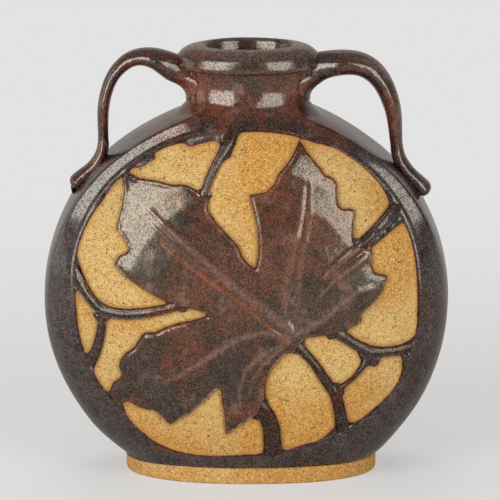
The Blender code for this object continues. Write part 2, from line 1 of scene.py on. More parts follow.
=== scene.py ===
# %% [markdown]
# # A two-handled moon flask with a maple leaf in relief
# The flask is hand-built stoneware: two dished halves joined at the rim, an oval neck
# with a rolled collar, two pulled straps and a low foot. An iron glaze covers all but
# the foot and the sunk panels, where the sandy clay is bare. The frame holds the
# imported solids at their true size, and each piece made here stands for one of them.

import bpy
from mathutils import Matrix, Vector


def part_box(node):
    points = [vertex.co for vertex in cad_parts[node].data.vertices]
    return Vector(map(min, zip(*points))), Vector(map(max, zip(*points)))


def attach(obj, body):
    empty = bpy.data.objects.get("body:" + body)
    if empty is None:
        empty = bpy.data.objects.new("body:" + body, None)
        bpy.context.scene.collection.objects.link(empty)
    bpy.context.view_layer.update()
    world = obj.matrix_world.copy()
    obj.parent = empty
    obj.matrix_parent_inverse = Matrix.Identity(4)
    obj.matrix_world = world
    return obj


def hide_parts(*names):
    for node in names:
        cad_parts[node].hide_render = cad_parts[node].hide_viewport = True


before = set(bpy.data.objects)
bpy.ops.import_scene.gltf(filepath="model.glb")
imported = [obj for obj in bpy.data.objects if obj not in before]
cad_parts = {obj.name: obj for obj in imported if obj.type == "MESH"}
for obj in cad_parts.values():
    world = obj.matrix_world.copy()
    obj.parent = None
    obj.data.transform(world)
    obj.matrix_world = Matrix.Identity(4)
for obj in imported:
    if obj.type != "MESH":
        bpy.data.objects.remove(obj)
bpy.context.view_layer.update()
print("solids in the frame:", len(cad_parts))

# %% [markdown]
# ## The flask's sizes
# These are the sizes the solids were made with. They are repeated here in metres,
# because the pieces below are pressed over the same hump.

# %% Sizes
import math

import bmesh
import bpy
import numpy as np
from mathutils import Vector, noise
from mathutils.bvhtree import BVHTree

MM = 0.001
BODY_RADIUS = 115 * MM
BODY_HALF_DEPTH = 56 * MM
BODY_SQUARENESS = 2.8
BODY_BOTTOM = 9.0 * MM
FLAT_HALF_WIDTH = 70.3 * MM
BODY_CENTRE = BODY_BOTTOM + math.sqrt(BODY_RADIUS ** 2 - FLAT_HALF_WIDTH ** 2)
WALL = 7 * MM
PANEL_CENTRE = 110 * MM
PANEL_HALF_WIDTH = 97.3 * MM
PANEL_HALF_HEIGHT = 93 * MM
PANEL_SQUARENESS = 2.2
PANEL_DEPTH = 2.6 * MM
print("body centre", round(BODY_CENTRE / MM, 1), "mm up")

# %% [markdown]
# ## Small tools of the bench
# Operators act on whatever is selected, so each step starts by selecting one piece
# alone. Edit mode is entered with all of its mesh picked, with none of it, or with
# the points or edges that a step has found.

# %% Selecting and editing
def pick(piece):
    """Select this piece alone and make it active."""
    bpy.ops.object.select_all(action='DESELECT')
    piece.select_set(True)
    bpy.context.view_layer.objects.active = piece


def open_edit(piece, mode='VERT', select=False):
    """Go into edit mode on one piece, with all of it picked or nothing."""
    pick(piece)
    bpy.ops.object.mode_set(mode='EDIT')
    bpy.ops.mesh.select_mode(type=mode)
    bpy.ops.mesh.select_all(action='SELECT' if select else 'DESELECT')


def close_edit():
    """Leave edit mode."""
    bpy.ops.object.mode_set(mode='OBJECT')


def edit_some(piece, picked, mode='VERT'):
    """Go into edit mode on one piece with only some points or edges picked."""
    open_edit(piece, mode)
    close_edit()
    parts = piece.data.edges if mode == 'EDGE' else piece.data.vertices
    parts.foreach_set("select", picked)
    bpy.ops.object.mode_set(mode='EDIT')


def face_alike(piece):
    """Turn all of a piece's faces to the same side of its skin."""
    open_edit(piece, select=True)
    bpy.ops.mesh.normals_make_consistent(inside=False)
    close_edit()


def smooth(piece, strokes):
    """Smooth all of a piece's points."""
    open_edit(piece, select=True)
    bpy.ops.mesh.vertices_smooth(factor=0.5, repeat=strokes)
    close_edit()


def melt(piece, voxel, strokes):
    """Remesh a piece evenly and smooth it."""
    pick(piece)
    piece.data.remesh_voxel_size = voxel
    piece.data.remesh_voxel_adaptivity = 0.0
    bpy.ops.object.voxel_remesh()
    smooth(piece, strokes)


def apply_place(piece):
    """Put the piece's place, turn and scale into its mesh."""
    pick(piece)
    bpy.ops.object.transform_apply(location=True, rotation=True, scale=True)


def apply_modifier(piece, kind, **settings):
    """Add a modifier with these settings and apply it."""
    pick(piece)
    modifier = piece.modifiers.new(kind.lower(), kind)
    for setting, value in settings.items():
        setattr(modifier, setting, value)
    bpy.ops.object.modifier_apply(modifier=modifier.name)


def face_count(piece):
    """Triangles in a piece."""
    return sum(len(face.vertices) - 2 for face in piece.data.polygons)


def front_of(piece):
    """The y of a piece's foremost point, in millimetres."""
    return round(min(vertex.co.y for vertex in piece.data.vertices) / MM, 1)


# %% [markdown]
# ## The hump and the panel
# Both halves are pressed over the same hump, a turned dome that is squarer than an
# ellipse. The panel is drawn about its own middle, 10 mm over the body's. Its edge
# bulges a little where the potter's tool wandered.

# %% Shape of the hump and outline of the panel
PANEL_BULGES = [(-116, 16, 5.5), (-32, 8, 1.8), (-14, 8, 1.2), (58, 12, 0.8), (168, 9, 1.2)]
NEAR_SEAM = 0.9999
TINY = 1e-9


def hump_height(share):
    """How far the hump stands out of the seam, at a share of its radius."""
    share = min(share, 1.0)
    return BODY_HALF_DEPTH * (1 - share ** BODY_SQUARENESS) ** (1 / BODY_SQUARENESS)


def on_hump(x, z):
    """The hump's point and outward normal over a place on the front, seen flat."""
    up = z - BODY_CENTRE
    share = min(math.hypot(x, up) / BODY_RADIUS, NEAR_SEAM)
    height = hump_height(share)
    radial = share ** (BODY_SQUARENESS - 1) / BODY_RADIUS
    outward = (height / BODY_HALF_DEPTH) ** (BODY_SQUARENESS - 1) / BODY_HALF_DEPTH
    reach = max(math.hypot(x, up), TINY)
    normal = Vector((x / reach * radial, -outward, up / reach * radial)).normalized()
    return Vector((x, -height, z)), normal


def degrees_apart(first, second):
    """Smallest angle between two directions in degrees."""
    return abs((first - second + 180) % 360 - 180)


def bump_sum(angle, bumps):
    """Sum of smooth bumps, each a direction, a half width and a height."""
    total = 0.0
    for direction, half_width, height in bumps:
        total += height * math.exp(-(degrees_apart(angle, direction) / half_width) ** 2)
    return total


def panel_radius(angle):
    """The panel's edge from its middle, at an angle in radians."""
    across = abs(math.cos(angle)) / PANEL_HALF_WIDTH
    up = abs(math.sin(angle)) / PANEL_HALF_HEIGHT
    plain = (across ** PANEL_SQUARENESS + up ** PANEL_SQUARENESS) ** (-1 / PANEL_SQUARENESS)
    return plain + bump_sum(math.degrees(angle), PANEL_BULGES) * MM


def inset_of(x, z):
    """How far inside the panel's edge a flat place is, in metres."""
    up = z - PANEL_CENTRE
    return panel_radius(math.atan2(up, x)) - math.hypot(x, up)


def ease(value, start, end):
    """A smooth step from 0 at the start to 1 at the end, for numbers and arrays."""
    share = np.clip((value - start) / (end - start), 0.0, 1.0)
    return share * share * (3 - 2 * share)


def between(ends, share):
    """The value at a share of the way from one end to the other."""
    return ends[0] + (ends[1] - ends[0]) * share


def bell(values, middle, width):
    """A smooth bump over an array: 1 at its middle, 0 far from it."""
    return np.exp(-((values - middle) / width) ** 2)


side_height = hump_height(PANEL_HALF_WIDTH / BODY_RADIUS)
print("dome height at the panel's side:", round(side_height / MM, 1))

# %% [markdown]
# ## The front half
# A half is a slab of clay pressed over the hump. It is drawn as a flat disc of rings:
# a circle whose edge is extruded and drawn in ring by ring. Then each ring is given
# its station, such as the border, the rounded lip of the panel or the sunk ground,
# and the disc is pressed to shape. That keeps a crisp, well placed edge round the
# panel, which a cut through a plain dome wouldn't give. At the upper corners the
# border is puffed: it lies flatter beside the panel and rolls over at the seam.

# %% Stations of the rings
SEGMENTS = 360
BORDER_RINGS = 18
GROUND_RINGS = 58
LIP = [(-2.0, 0.0), (-1.3, 0.05), (-0.7, 0.22), (-0.2, 0.55), (0.15, 1.05),
       (0.45, 1.6), (0.8, 2.1), (1.35, 2.42), (2.1, 2.58)]

stations = [("border", ring / BORDER_RINGS, 0.0) for ring in range(BORDER_RINGS)]
stations += [("panel", inset * MM, sink * MM) for inset, sink in LIP]
for ring in range(1, GROUND_RINGS + 1):
    stations.append(("ground", 1 - ring / GROUND_RINGS, PANEL_DEPTH))
print("rings:", len(stations))

# %% The flat disc of rings
RING_STEP = BODY_RADIUS / len(stations)


def disc_of_rings(name):
    """A flat disc facing the front, made by drawing a circle's edge in step by step."""
    bpy.ops.mesh.primitive_circle_add(vertices=SEGMENTS, radius=BODY_RADIUS, fill_type='NOTHING',
                                      location=(0, 0, BODY_CENTRE), rotation=(math.pi / 2, 0, 0))
    disc = bpy.context.object
    disc.name = name
    apply_place(disc)
    open_edit(disc, select=True)
    for ring in range(1, len(stations)):
        shrink = (len(stations) - ring) / (len(stations) - ring + 1)
        bpy.ops.mesh.extrude_region_move()
        bpy.ops.transform.resize(value=(shrink, 1, shrink), center_override=(0, 0, BODY_CENTRE))
    bpy.ops.mesh.merge(type='CENTER')
    close_edit()
    return disc


shell_front = disc_of_rings("shell_front")
print("flat disc:", face_count(shell_front), "triangles")

# %% Press the disc over the hump
def sunk(x, z, depth):
    """A point on the hump over a place of the front, sunk along the normal."""
    point, normal = on_hump(x, z)
    return point - normal * depth


PUFFS = [(112, 22, 0.9), (148, 26, 1.0), (45, 28, 0.9), (22, 14, 0.42)]
PUFF_FADE = (0.02, 0.045)
PUFF_SLOPE = 0.50
PUFF_ROLL = 0.24
PUFF_SQUARENESS = 2.2
WIDEST_LIP = 0.995
LEAST_WIDTH = 0.001


def puffed_height(lip_height, width, across):
    """Height of a border that lies flat at first and rolls over at the seam."""
    roll = 1 - max(0.0, 1 - across / PUFF_ROLL) ** PUFF_SQUARENESS
    return (lip_height - PUFF_SLOPE * width * (1 - across)) * roll ** (1 / PUFF_SQUARENESS)


def border_point(angle, share):
    """A point of the glazed border: share 0 is the seam, 1 the lip's outer edge."""
    reach = panel_radius(angle) - LIP[0][0] * MM
    x = reach * math.cos(angle)
    up = PANEL_CENTRE + reach * math.sin(angle) - BODY_CENTRE
    lip_share = min(math.hypot(x, up) / BODY_RADIUS, WIDEST_LIP)
    lip_angle = math.atan2(up, x)
    turn = (lip_angle - angle + math.pi) % (2 * math.pi) - math.pi
    arc = math.acos(lip_share ** (BODY_SQUARENESS / 2)) * share
    radius = BODY_RADIUS * math.cos(arc) ** (2 / BODY_SQUARENESS)
    height = BODY_HALF_DEPTH * math.sin(arc) ** (2 / BODY_SQUARENESS)
    direction = angle + turn * share
    across = min((1 - radius / BODY_RADIUS) / max(1 - lip_share, LEAST_WIDTH), 1.0)
    puff = min(bump_sum(math.degrees(angle), PUFFS), 1.0) * ease(1 - lip_share, *PUFF_FADE)
    width = (1 - lip_share) * BODY_RADIUS
    height += puff * (puffed_height(hump_height(lip_share), width, across) - height)
    up = radius * math.sin(direction)
    return Vector((radius * math.cos(direction), -height, BODY_CENTRE + up))


def station_point(angle, station):
    """Where a point of the flat disc lies on the pressed half."""
    kind, value, depth = station
    if kind == "border":
        return border_point(angle, value)
    reach = panel_radius(angle)
    if kind == "panel":
        reach -= value
    else:
        reach = (reach - LIP[-1][0] * MM) * value
    return sunk(reach * math.cos(angle), PANEL_CENTRE + reach * math.sin(angle), depth)


def press_over_hump(disc):
    """Move every point of the disc to its station."""
    centre = station_point(0.0, stations[-1])
    for vertex in disc.data.vertices:
        across = vertex.co.x
        up = vertex.co.z - BODY_CENTRE
        radius = math.hypot(across, up)
        ring = round((BODY_RADIUS - radius) / RING_STEP)
        if ring >= len(stations) - 1:
            vertex.co = centre
        else:
            vertex.co = station_point(math.atan2(up, across), stations[ring])


press_over_hump(shell_front)
face_alike(shell_front)
if sum(face.normal.y for face in shell_front.data.polygons) > 0:
    shell_front.data.flip_normals()
print("pressed half, front at y =", front_of(shell_front), "mm")

# %% [markdown]
# ## The relief: a leaf and its stems
# The leaf and stems stand in the sunk panel. Their outlines are those of the solids,
# so each starts as a copy of its solid's mesh. The copy's loose triangles are merged,
# its underside is let into the ground, and it is remeshed evenly and smoothed. That
# rounds its edges as glaze and a wet sponge do. Where a stem meets the leaf or
# another stem, its end is pushed into its neighbour and smeared, as wet clay is.

# %% Outlines of the relief
RELIEF = ["leaf", "stem_top", "stem_left", "stem_left_fork", "stem_bottom", "stem_petiole",
          "stem_right_low", "stem_right_fork", "stem_right"]
STEEP = 0.5
WELD = 0.01 * MM
BATCH = 4000
LEAST_SQUARE = 1e-18


def merged_copy(node):
    """A mesh builder with a solid's triangles joined into one skin."""
    builder = bmesh.new()
    builder.from_mesh(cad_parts[node].data)
    bmesh.ops.remove_doubles(builder, verts=builder.verts, dist=WELD)
    return builder


def outline_of(node):
    """Flat segments where a relief solid's top meets its walls: x0, z0, x1, z1."""
    builder = merged_copy(node)
    segments = []
    for edge in builder.edges:
        turns = sorted(face.normal.y for face in edge.link_faces)
        if len(turns) == 2 and turns[0] < -STEEP < turns[1] < STEEP:
            start, end = (vertex.co for vertex in edge.verts)
            segments.append((start.x, start.z, end.x, end.z))
    builder.free()
    return np.array(segments)


def distance_to(segments, places):
    """Distance of flat places from the nearest of some segments."""
    start = segments[:, :2]
    along = segments[:, 2:] - start
    squared = np.maximum((along ** 2).sum(1), LEAST_SQUARE)
    nearest = np.full(len(places), np.inf)
    for first in range(0, len(places), BATCH):
        some = places[first:first + BATCH, None, :] - start
        share = np.clip((some * along).sum(2) / squared, 0, 1)
        gap = some - share[..., None] * along
        nearest[first:first + BATCH] = np.sqrt((gap ** 2).sum(2)).min(1)
    return nearest


MEETING = 0.9 * MM
whole_outlines = {name: outline_of("front_" + name) for name in RELIEF}


def insets_of(places):
    """How far inside the panel's edge flat places are, in metres."""
    return np.array([inset_of(x, z) for x, z in places])


def parted_outline(name):
    """A piece's outline in two: its free edge, and where it meets something."""
    own = whole_outlines[name]
    middles = (own[:, :2] + own[:, 2:]) / 2
    others = np.vstack([line for other, line in whole_outlines.items() if other != name])
    meets = (distance_to(others, middles) < MEETING) | (insets_of(middles) < MEETING)
    return own[~meets], own[meets]


outlines = {}
joints = {}
for name in RELIEF:
    outlines[name], joints[name] = parted_outline(name)
print("free edges:", sum(map(len, outlines.values())), "joints:", sum(map(len, joints.values())))

# %% Remeshed copies of the relief solids
UNDERSIDE = 1.4 * MM
LET_IN = 1.4 * MM
LEAF_SKIN = (0.75 * MM, 5)
STEM_SKIN = (0.6 * MM, 8)
STEM_PUSH = 3.2 * MM
PUSH_REACH = (0.9, 3.2)
SMEAR_REACH = 5.0 * MM
SMEAR_STROKES = 10


def relief_from(name, voxel, strokes):
    """A piece of relief from its solid: let into the ground, remeshed and smoothed."""
    node = "front_" + name
    builder = merged_copy(node)
    for vertex in builder.verts:
        top, _ = on_hump(vertex.co.x, vertex.co.z)
        if vertex.co.y - top.y > UNDERSIDE:
            vertex.co.y += LET_IN
    mesh = bpy.data.meshes.new(name + "_front")
    builder.to_mesh(mesh)
    builder.free()
    piece = bpy.data.objects.new(name + "_front", mesh)
    bpy.context.scene.collection.objects.link(piece)
    melt(piece, voxel, strokes)
    return piece


def point_vectors(piece, kind):
    """The place ("co") or the normal ("normal") of each of a piece's points."""
    vectors = np.empty(len(piece.data.vertices) * 3)
    piece.data.vertices.foreach_get(kind, vectors)
    return vectors.reshape(-1, 3)


def flat_places(piece):
    """The x and z of a piece's points, and all their coordinates."""
    points = point_vectors(piece, "co")
    return points[:, [0, 2]], points


def put_points(piece, points):
    """Move a piece's points to new places."""
    piece.data.vertices.foreach_set("co", points.ravel())
    piece.data.update()


def bond(piece, joint):
    """Push a stem's end into its neighbour where the two meet."""
    places, points = flat_places(piece)
    near = 1 - ease(distance_to(joint, places) / MM, *PUSH_REACH)
    normals = point_vectors(piece, "normal")
    points[:, [0, 2]] += normals[:, [0, 2]] * (near * STEM_PUSH)[:, None]
    put_points(piece, points)


def smear(piece, joint):
    """Smooth a stem close to its joints, as a wet finger does."""
    places, _ = flat_places(piece)
    edit_some(piece, distance_to(joint, places) < SMEAR_REACH)
    bpy.ops.mesh.vertices_smooth(factor=0.5, repeat=SMEAR_STROKES)
    close_edit()


relief = {}
for name in RELIEF:
    skin = LEAF_SKIN if name == "leaf" else STEM_SKIN
    relief[name] = relief_from(name, *skin)
    if len(joints[name]) and name != "leaf":
        bond(relief[name], joints[name])
        smear(relief[name], joints[name])
print("relief:", {name: face_count(piece) for name, piece in relief.items()})

# %% [markdown]
# ## Veins
# The potter modelled the veins as low ridges with a tooled groove beside them. Each
# vein is a line of points drawn on the leaf, in millimetres about the panel's middle,
# with its half width and its rise at both ends. A groove's rise is below nothing.
# A vein this thin would vanish in a remesh, so it is pressed into the finished skin
# by moving points, as a sculpting brush would. The leaf's edge is rolled down the
# same way, and the crests and thin places are kept as numbers on its points. The
# crests' lighter mauve is partly worn glaze and partly a painted sheen.

# %% Lines of the veins
VEINS = [
    ([(27, -20), (9, -4.5), (-6, 7), (-23, 22), (-37, 34), (-54, 50)], (3.6, 1.3), (0.90, 0.45)),
    ([(-25, 18), (-41, 31), (-52, 41)], (0.9, 0.8), (0.3, 0.4)),
    ([(24.6, -23), (6.6, -7.8), (-8.4, 3.7), (-25, 19), (-38.5, 31.5)], (1.4, 1.0), (-0.50, -0.35)),
    ([(25, -18), (21.5, -5), (23, 12), (26.5, 29), (30, 48), (32, 60)], (2.1, 1.2), (0.15, 0.12)),
    ([(30, -18), (28, -5), (29.5, 12), (32, 29), (35.5, 48), (36, 66)], (2.1, 1.2), (0.15, 0.12)),
    ([(27.5, -18), (24.8, -5), (26.5, 12), (29, 29), (32.8, 48), (34, 63)],
     (1.5, 1.1), (-0.38, -0.30)),
    ([(28.5, -19), (41, -13), (54, -2), (63, 4.5), (70, 5.5)], (2.7, 1.3), (0.60, 0.45)),
    ([(30, -23), (43, -17.5), (56.5, -6.5), (65, 0)], (1.2, 0.9), (-0.40, -0.25)),
    ([(25, -22), (9, -18.5), (-6, -23), (-23, -34.5), (-37, -44), (-46, -48)],
     (2.7, 1.2), (0.60, 0.25)),
    ([(20, -25.5), (8, -22.8), (-6, -27.4), (-23, -38.5), (-37, -47.5)],
     (1.2, 0.9), (-0.40, -0.25)),
    ([(23, -24), (9, -31.5), (-0.5, -40.5), (-4, -52), (-3.5, -62)], (1.9, 1.1), (0.45, 0.25)),
    ([(20, -28), (9.5, -37), (3.5, -46), (1.5, -56)], (1.0, 0.8), (0.35, 0.3)),
    ([(72, 36.6), (60, 26.4), (50.4, 18.9), (44, 13)], (2.7, 1.4), (2.3, 0.6)),
    ([(69, 29.5), (58, 21), (48, 13.5)], (1.4, 1.0), (-0.9, -0.4)),
    ([(69, 24.5), (58, 17), (48, 9.5), (41, 2)], (1.8, 1.1), (0.7, 0.3)),
]
RUST_LINES = [
    ([(23.5, -25.2), (8.7, -12.3), (0.3, -4.2), (-16.4, 7.4), (-31.5, 19), (-48, 32)], 1.2, 0.80),
    ([(37, 36), (38.5, 46)], 1.6, 0.3),
    ([(29.5, -6), (30, 14), (32, 29)], 0.8, 0.4),
    ([(22, -5), (23, 12), (26.5, 29), (30, 48)], 0.6, 0.3),
    ([(63, 20), (56, 16), (49, 10.5)], 0.6, 0.35),
    ([(-48, -45), (-40, -47)], 1.2, 0.6),
    ([(44, -17), (49, -13.5), (56, -7)], 0.6, 0.35),
]
CREST_SHARPNESS = 1.2
CREST_SHARE = 0.4
# Strength of the vein crests' mauve, partly worn glaze and partly a painted sheen.
CREST_WEAR_AND_SHEEN = 0.62
VEIN_FADE = 2.5 * MM
LEAF_RIM = (0.9, 0.55)
EDGE_WEAR = 0.35
EDGE_ROLL = 3.2 * MM
EDGE_DROP = 0.55 * MM
LEAF_SETTLE = 0.55 * MM
FACING_GAIN = 1.6
FACING_LOSS = 0.4


def segments_of(line):
    """A drawn line as flat segments in metres."""
    drawn = np.array(line) * MM + np.array([0.0, PANEL_CENTRE])
    return np.hstack([drawn[:-1], drawn[1:]])


def store(piece, name, values):
    """Keep one number a point on the piece, for its finish to read."""
    attribute = piece.data.attributes.new(name, 'FLOAT', 'POINT')
    attribute.data.foreach_set("value", np.asarray(values, np.float32))


def nearest_on(line, places):
    """Distance of flat places from a drawn line, and the share of it passed there."""
    segments = segments_of(line)
    lengths = np.hypot(*(segments[:, 2:] - segments[:, :2]).T)
    passed = np.concatenate([[0.0], np.cumsum(lengths)]) / lengths.sum()
    gaps = np.array([distance_to(segment[None, :], places) for segment in segments])
    which = gaps.argmin(0)
    from_start = np.hypot(*(places - segments[which, :2]).T)
    along = np.sqrt(np.maximum(from_start ** 2 - gaps.min(0) ** 2, 0)) / lengths[which]
    return gaps.min(0), between((passed[which], passed[which + 1]), np.minimum(along, 1))


def vein_lift(places):
    """Height of the veins in metres, and how near each place is to a crest."""
    ridge = np.zeros(len(places))
    groove = np.zeros(len(places))
    crest = np.zeros(len(places))
    for line, widths, rises in VEINS:
        gap, along = nearest_on(line, places)
        profile = bell(gap, 0, between(widths, along) * MM)
        lift = between(rises, along) * MM * profile
        ridge = np.maximum(ridge, lift)
        groove = np.minimum(groove, lift)
        if rises[0] > 0:
            height = min(1.0, CREST_SHARE + rises[0])
            crest = np.maximum(crest, profile ** CREST_SHARPNESS * height)
    return ridge + groove, crest


def rust_lines(places):
    """How much the glaze has run thin along drawn lines, 0 to 1."""
    thin = np.zeros(len(places))
    for line, half_width, strength in RUST_LINES:
        gap = distance_to(segments_of(line), places) / MM
        thin = np.maximum(thin, strength * bell(gap, 0, half_width))
    return thin


def facing_out(piece):
    """How squarely each point of a piece faces the front, 0 to 1."""
    return np.clip(-point_vectors(piece, "normal")[:, 1] * FACING_GAIN - FACING_LOSS, 0, 1)


def model_leaf(leaf):
    """Roll the leaf's edges down and raise its veins."""
    places, points = flat_places(leaf)
    inside = distance_to(outlines["leaf"], places)
    out = facing_out(leaf)
    lift, crest = vein_lift(places)
    fade = np.clip(inside / VEIN_FADE, 0, 1)
    roll = EDGE_DROP * np.clip(1 - inside / EDGE_ROLL, 0, 1) ** 2
    points[:, 1] -= out * (lift * fade - roll - LEAF_SETTLE)
    put_points(leaf, points)
    rim = bell(inside / MM, *LEAF_RIM) * EDGE_WEAR
    store(leaf, "thin", np.maximum(rust_lines(places) * fade, rim) * out)
    # The crests are painted mauve: partly worn glaze, partly a painted sheen.
    store(leaf, "crest", crest * fade * out * CREST_WEAR_AND_SHEEN)


model_leaf(relief["leaf"])
print("leaf stands out to y =", front_of(relief["leaf"]), "mm")

# %% [markdown]
# ## Stems run into the border
# A stem that reaches the panel's edge doesn't stop there on the real flask: it grows
# out of the glazed border. So the end of each stem is drawn out past the lip and
# lowered until it sinks into the border. The right stem's inner end rises to the
# ridge that carries it on over the leaf.

# %% Draw the stems' ends into the border
REACH_OUT = 5.0 * MM
BLEND_LENGTH = 7.0 * MM
STEM_SETTLE = 0.7 * MM
STEM_SINK = 1.0 * MM
STEM_DOME = 1.5 * MM
STEM_SPREAD = 2.0 * MM
STEM_ROUND = 3.6 * MM
STEM_RIM = (1.2, 0.5)
STEM_WEAR = 0.12
RIDGE_END = (66, 80)


def run_into_border(stem, inside):
    """Round a stem's top, and draw its ends outwards, wider and down, under the border."""
    out = facing_out(stem)
    normals = point_vectors(stem, "normal")
    for vertex, edge, front, normal in zip(stem.data.vertices, inside, out, normals):
        x, z = vertex.co.x, vertex.co.z
        top, _ = on_hump(x, z)
        dome = STEM_DOME * front * max(0.0, 1 - edge / STEM_ROUND) ** 2
        proud = top.y - vertex.co.y - dome
        near = max(0.0, 1 - inset_of(x, z) / BLEND_LENGTH)
        x += normal[0] * STEM_SPREAD * near ** 2
        z += normal[2] * STEM_SPREAD * near ** 2
        up = z - PANEL_CENTRE
        reach = math.hypot(x, up)
        grown = (reach + REACH_OUT * near ** 1.5) / reach
        new_x, new_z = x * grown, PANEL_CENTRE + up * grown
        new_top, _ = on_hump(new_x, new_z)
        settle = STEM_SETTLE + STEM_SINK * near ** 3
        vertex.co = (new_x, new_top.y - (proud - settle), new_z)
    stem.data.update()


def run_over_leaf(stem, places, out):
    """Raise a stem's inner end to the ridge that carries it on over the leaf."""
    lift, _ = vein_lift(places)
    towards_leaf = 1 - ease(places[:, 0] / MM, *RIDGE_END)
    for vertex, rise, share in zip(stem.data.vertices, lift, out * towards_leaf):
        vertex.co.y -= rise * share
    stem.data.update()


for name in RELIEF[1:]:
    stem = relief[name]
    places, _ = flat_places(stem)
    inside = distance_to(outlines[name], places)
    out = facing_out(stem)
    run_into_border(stem, inside)
    if name == "stem_right":
        run_over_leaf(stem, places, out)
    store(stem, "thin", bell(inside / MM, *STEM_RIM) * out * STEM_WEAR)
print("stems settled:", len(RELIEF) - 1)

# %% [markdown]
# ## Bare clay and glaze on the half
# The glaze stops close to the foot of every relief edge, but it ran further in
# places. Each point of the half keeps the number of millimetres that it lies inside
# the bare ground, below nothing where it is glazed. The finish turns that into a
# crisp, wandering glaze line. Runs of the border are bumps by direction, and pools
# are drawn as short lines with a width. The glaze also fills the corners between the
# ground and the relief with a low fillet.

# %% Where the glaze ran
BORDER_RUNS = [(147, 6, 1.4), (130, 7, 1.6), (108, 8, 2.6), (97, 4, 1.2), (31, 6, 2.2),
               (-22, 4, 3.0), (-58, 5, 3.4), (-70, 5, 1.4), (-138, 4, 2.2), (66, 5, 1.2)]
GLAZE_POOLS = [
    ([(-31, 85), (-26, 87), (-18, 89)], 1.6),
    ([(-15, 89), (-9, 86), (-11, 80)], 2.2),
    ([(-60, 72), (-52, 77)], 1.0),
    ([(24, -15), (28, -22)], 3.0),
    ([(-79, -63), (-73, -66)], 2.4),
    ([(70, 32), (78, 38), (84, 42)], 3.2),
    ([(66, -33), (72, -38)], 2.6),
    ([(-2, -64), (6, -60)], 2.8),
    ([(59, -78), (51, -83)], 2.0),
]
GLAZED = -8.0
LIP_GLAZE = 1.2
WALL_GLAZE = 0.4
CORNER_ROUND = 1.3
FARTHEST = 20.0
UNDER_BORDER = -4
FILLET = 1.5 * MM
FILLET_AT_LINE = (-1.6, 0.5)
FILLET_AT_STEM = (0.0, 0.6)
FILLET_AT_LIP = (0.4, 1.6)
LIP_RIM = (-0.4, 0.5)
LIP_WEAR = 0.16
LIP_CLEAR = (1.5, 4.0)


def under_relief(name, places):
    """Whether each flat place lies under one relief solid."""
    builder = merged_copy("front_" + name)
    tree = BVHTree.FromBMesh(builder)
    builder.free()
    ahead = Vector((0, 1, 0))
    hits = [tree.ray_cast(Vector((x, -1, z)), ahead, 1.0)[0] for x, z in places]
    return np.array([hit is not None for hit in hits])


def bare_clay(places):
    """Millimetres inside the bare ground, seen flat, and the gaps it is made of.

    The gaps to the border, to each piece of relief and to each pool are melted into
    one number, negative where glazed, which rounds the corners of the bare cells.
    """
    inset = insets_of(places) / MM
    direction = [math.degrees(math.atan2(z - PANEL_CENTRE, x)) for x, z in places]
    runs = np.array([bump_sum(angle, BORDER_RUNS) for angle in direction])
    gaps = [inset - LIP_GLAZE - runs]
    near = inset > UNDER_BORDER
    for name in RELIEF:
        gap = np.full(len(places), FARTHEST)
        gap[near] = distance_to(whole_outlines[name], places[near]) / MM
        under = np.zeros(len(places), bool)
        under[near] = under_relief(name, places[near])
        gaps.append(np.where(under, -gap, gap) - WALL_GLAZE)
    for line, width in GLAZE_POOLS:
        gaps.append(distance_to(segments_of(line), places) / MM - width)
    gaps = np.clip(np.array(gaps), -FARTHEST, FARTHEST)
    return -CORNER_ROUND * np.log(np.exp(-gaps / CORNER_ROUND).sum(0)), gaps


places, points = flat_places(shell_front)
shell_bare, gaps = bare_clay(places)
lip_inset = insets_of(places) / MM
stem_gap = gaps[1:1 + len(RELIEF)].min(0)
pooled = 1 - ease(shell_bare, *FILLET_AT_LINE)
pooled *= ease(stem_gap, *FILLET_AT_STEM)
pooled *= ease(lip_inset, *FILLET_AT_LIP)
hump_normals = np.array([on_hump(x, z)[1] for x, z in places])
points += hump_normals * (pooled * FILLET)[:, None]
put_points(shell_front, points)
lip_thin = bell(lip_inset, *LIP_RIM) * LIP_WEAR * ease(stem_gap, *LIP_CLEAR)
store(shell_front, "bare", shell_bare)
store(shell_front, "thin", lip_thin)
print("bare points:", int((shell_bare > 0).sum()), "of", len(shell_bare))

# %% [markdown]
# ## Wall, mouth and foot of the half
# The sheet gets its wall with a Solidify modifier. Then the neck's bore is cut
# through the top and the bottom is cut flat, with Boolean modifiers.

# %% Give the half its wall and cut it
NECK_SHIFT = 1.0 * MM
BORE_HALF_WIDTH = 27 * MM
BORE_HALF_DEPTH = 17 * MM
BORE_LENGTH = 40 * MM
BORE_HEIGHT = 205 * MM
BLOCK_WIDTH = 0.3
BLOCK_TALL = 100 * MM
INNER_SKIN = 4.5 * MM


def bore_cutter():
    """An oval rod through the top of the body."""
    bpy.ops.mesh.primitive_cylinder_add(vertices=96, radius=1, depth=BORE_LENGTH,
                                        location=(NECK_SHIFT, 0, BORE_HEIGHT),
                                        scale=(BORE_HALF_WIDTH, BORE_HALF_DEPTH, 1))
    rod = bpy.context.object
    apply_place(rod)
    return rod


def base_cutter():
    """A block under the level of the foot ring."""
    bpy.ops.mesh.primitive_cube_add(size=1, location=(0, 0, BODY_BOTTOM - BLOCK_TALL / 2),
                                    scale=(BLOCK_WIDTH, BLOCK_WIDTH, BLOCK_TALL))
    block = bpy.context.object
    apply_place(block)
    return block


apply_modifier(shell_front, 'SOLIDIFY', thickness=WALL, offset=-1)
for cutter in (bore_cutter(), base_cutter()):
    apply_modifier(shell_front, 'BOOLEAN', operation='DIFFERENCE', solver='EXACT', object=cutter)
    bpy.data.objects.remove(cutter, do_unlink=True)
bare = np.empty(len(shell_front.data.vertices))
shell_front.data.attributes["bare"].data.foreach_get("value", bare)
places, points = flat_places(shell_front)
inner = np.array([-hump_height(math.hypot(x, z - BODY_CENTRE) / BODY_RADIUS) for x, z in places])
bare[points[:, 1] - inner > INNER_SKIN] = GLAZED
shell_front.data.attributes["bare"].data.foreach_set("value", bare.astype(np.float32))
print("front half:", face_count(shell_front), "triangles")

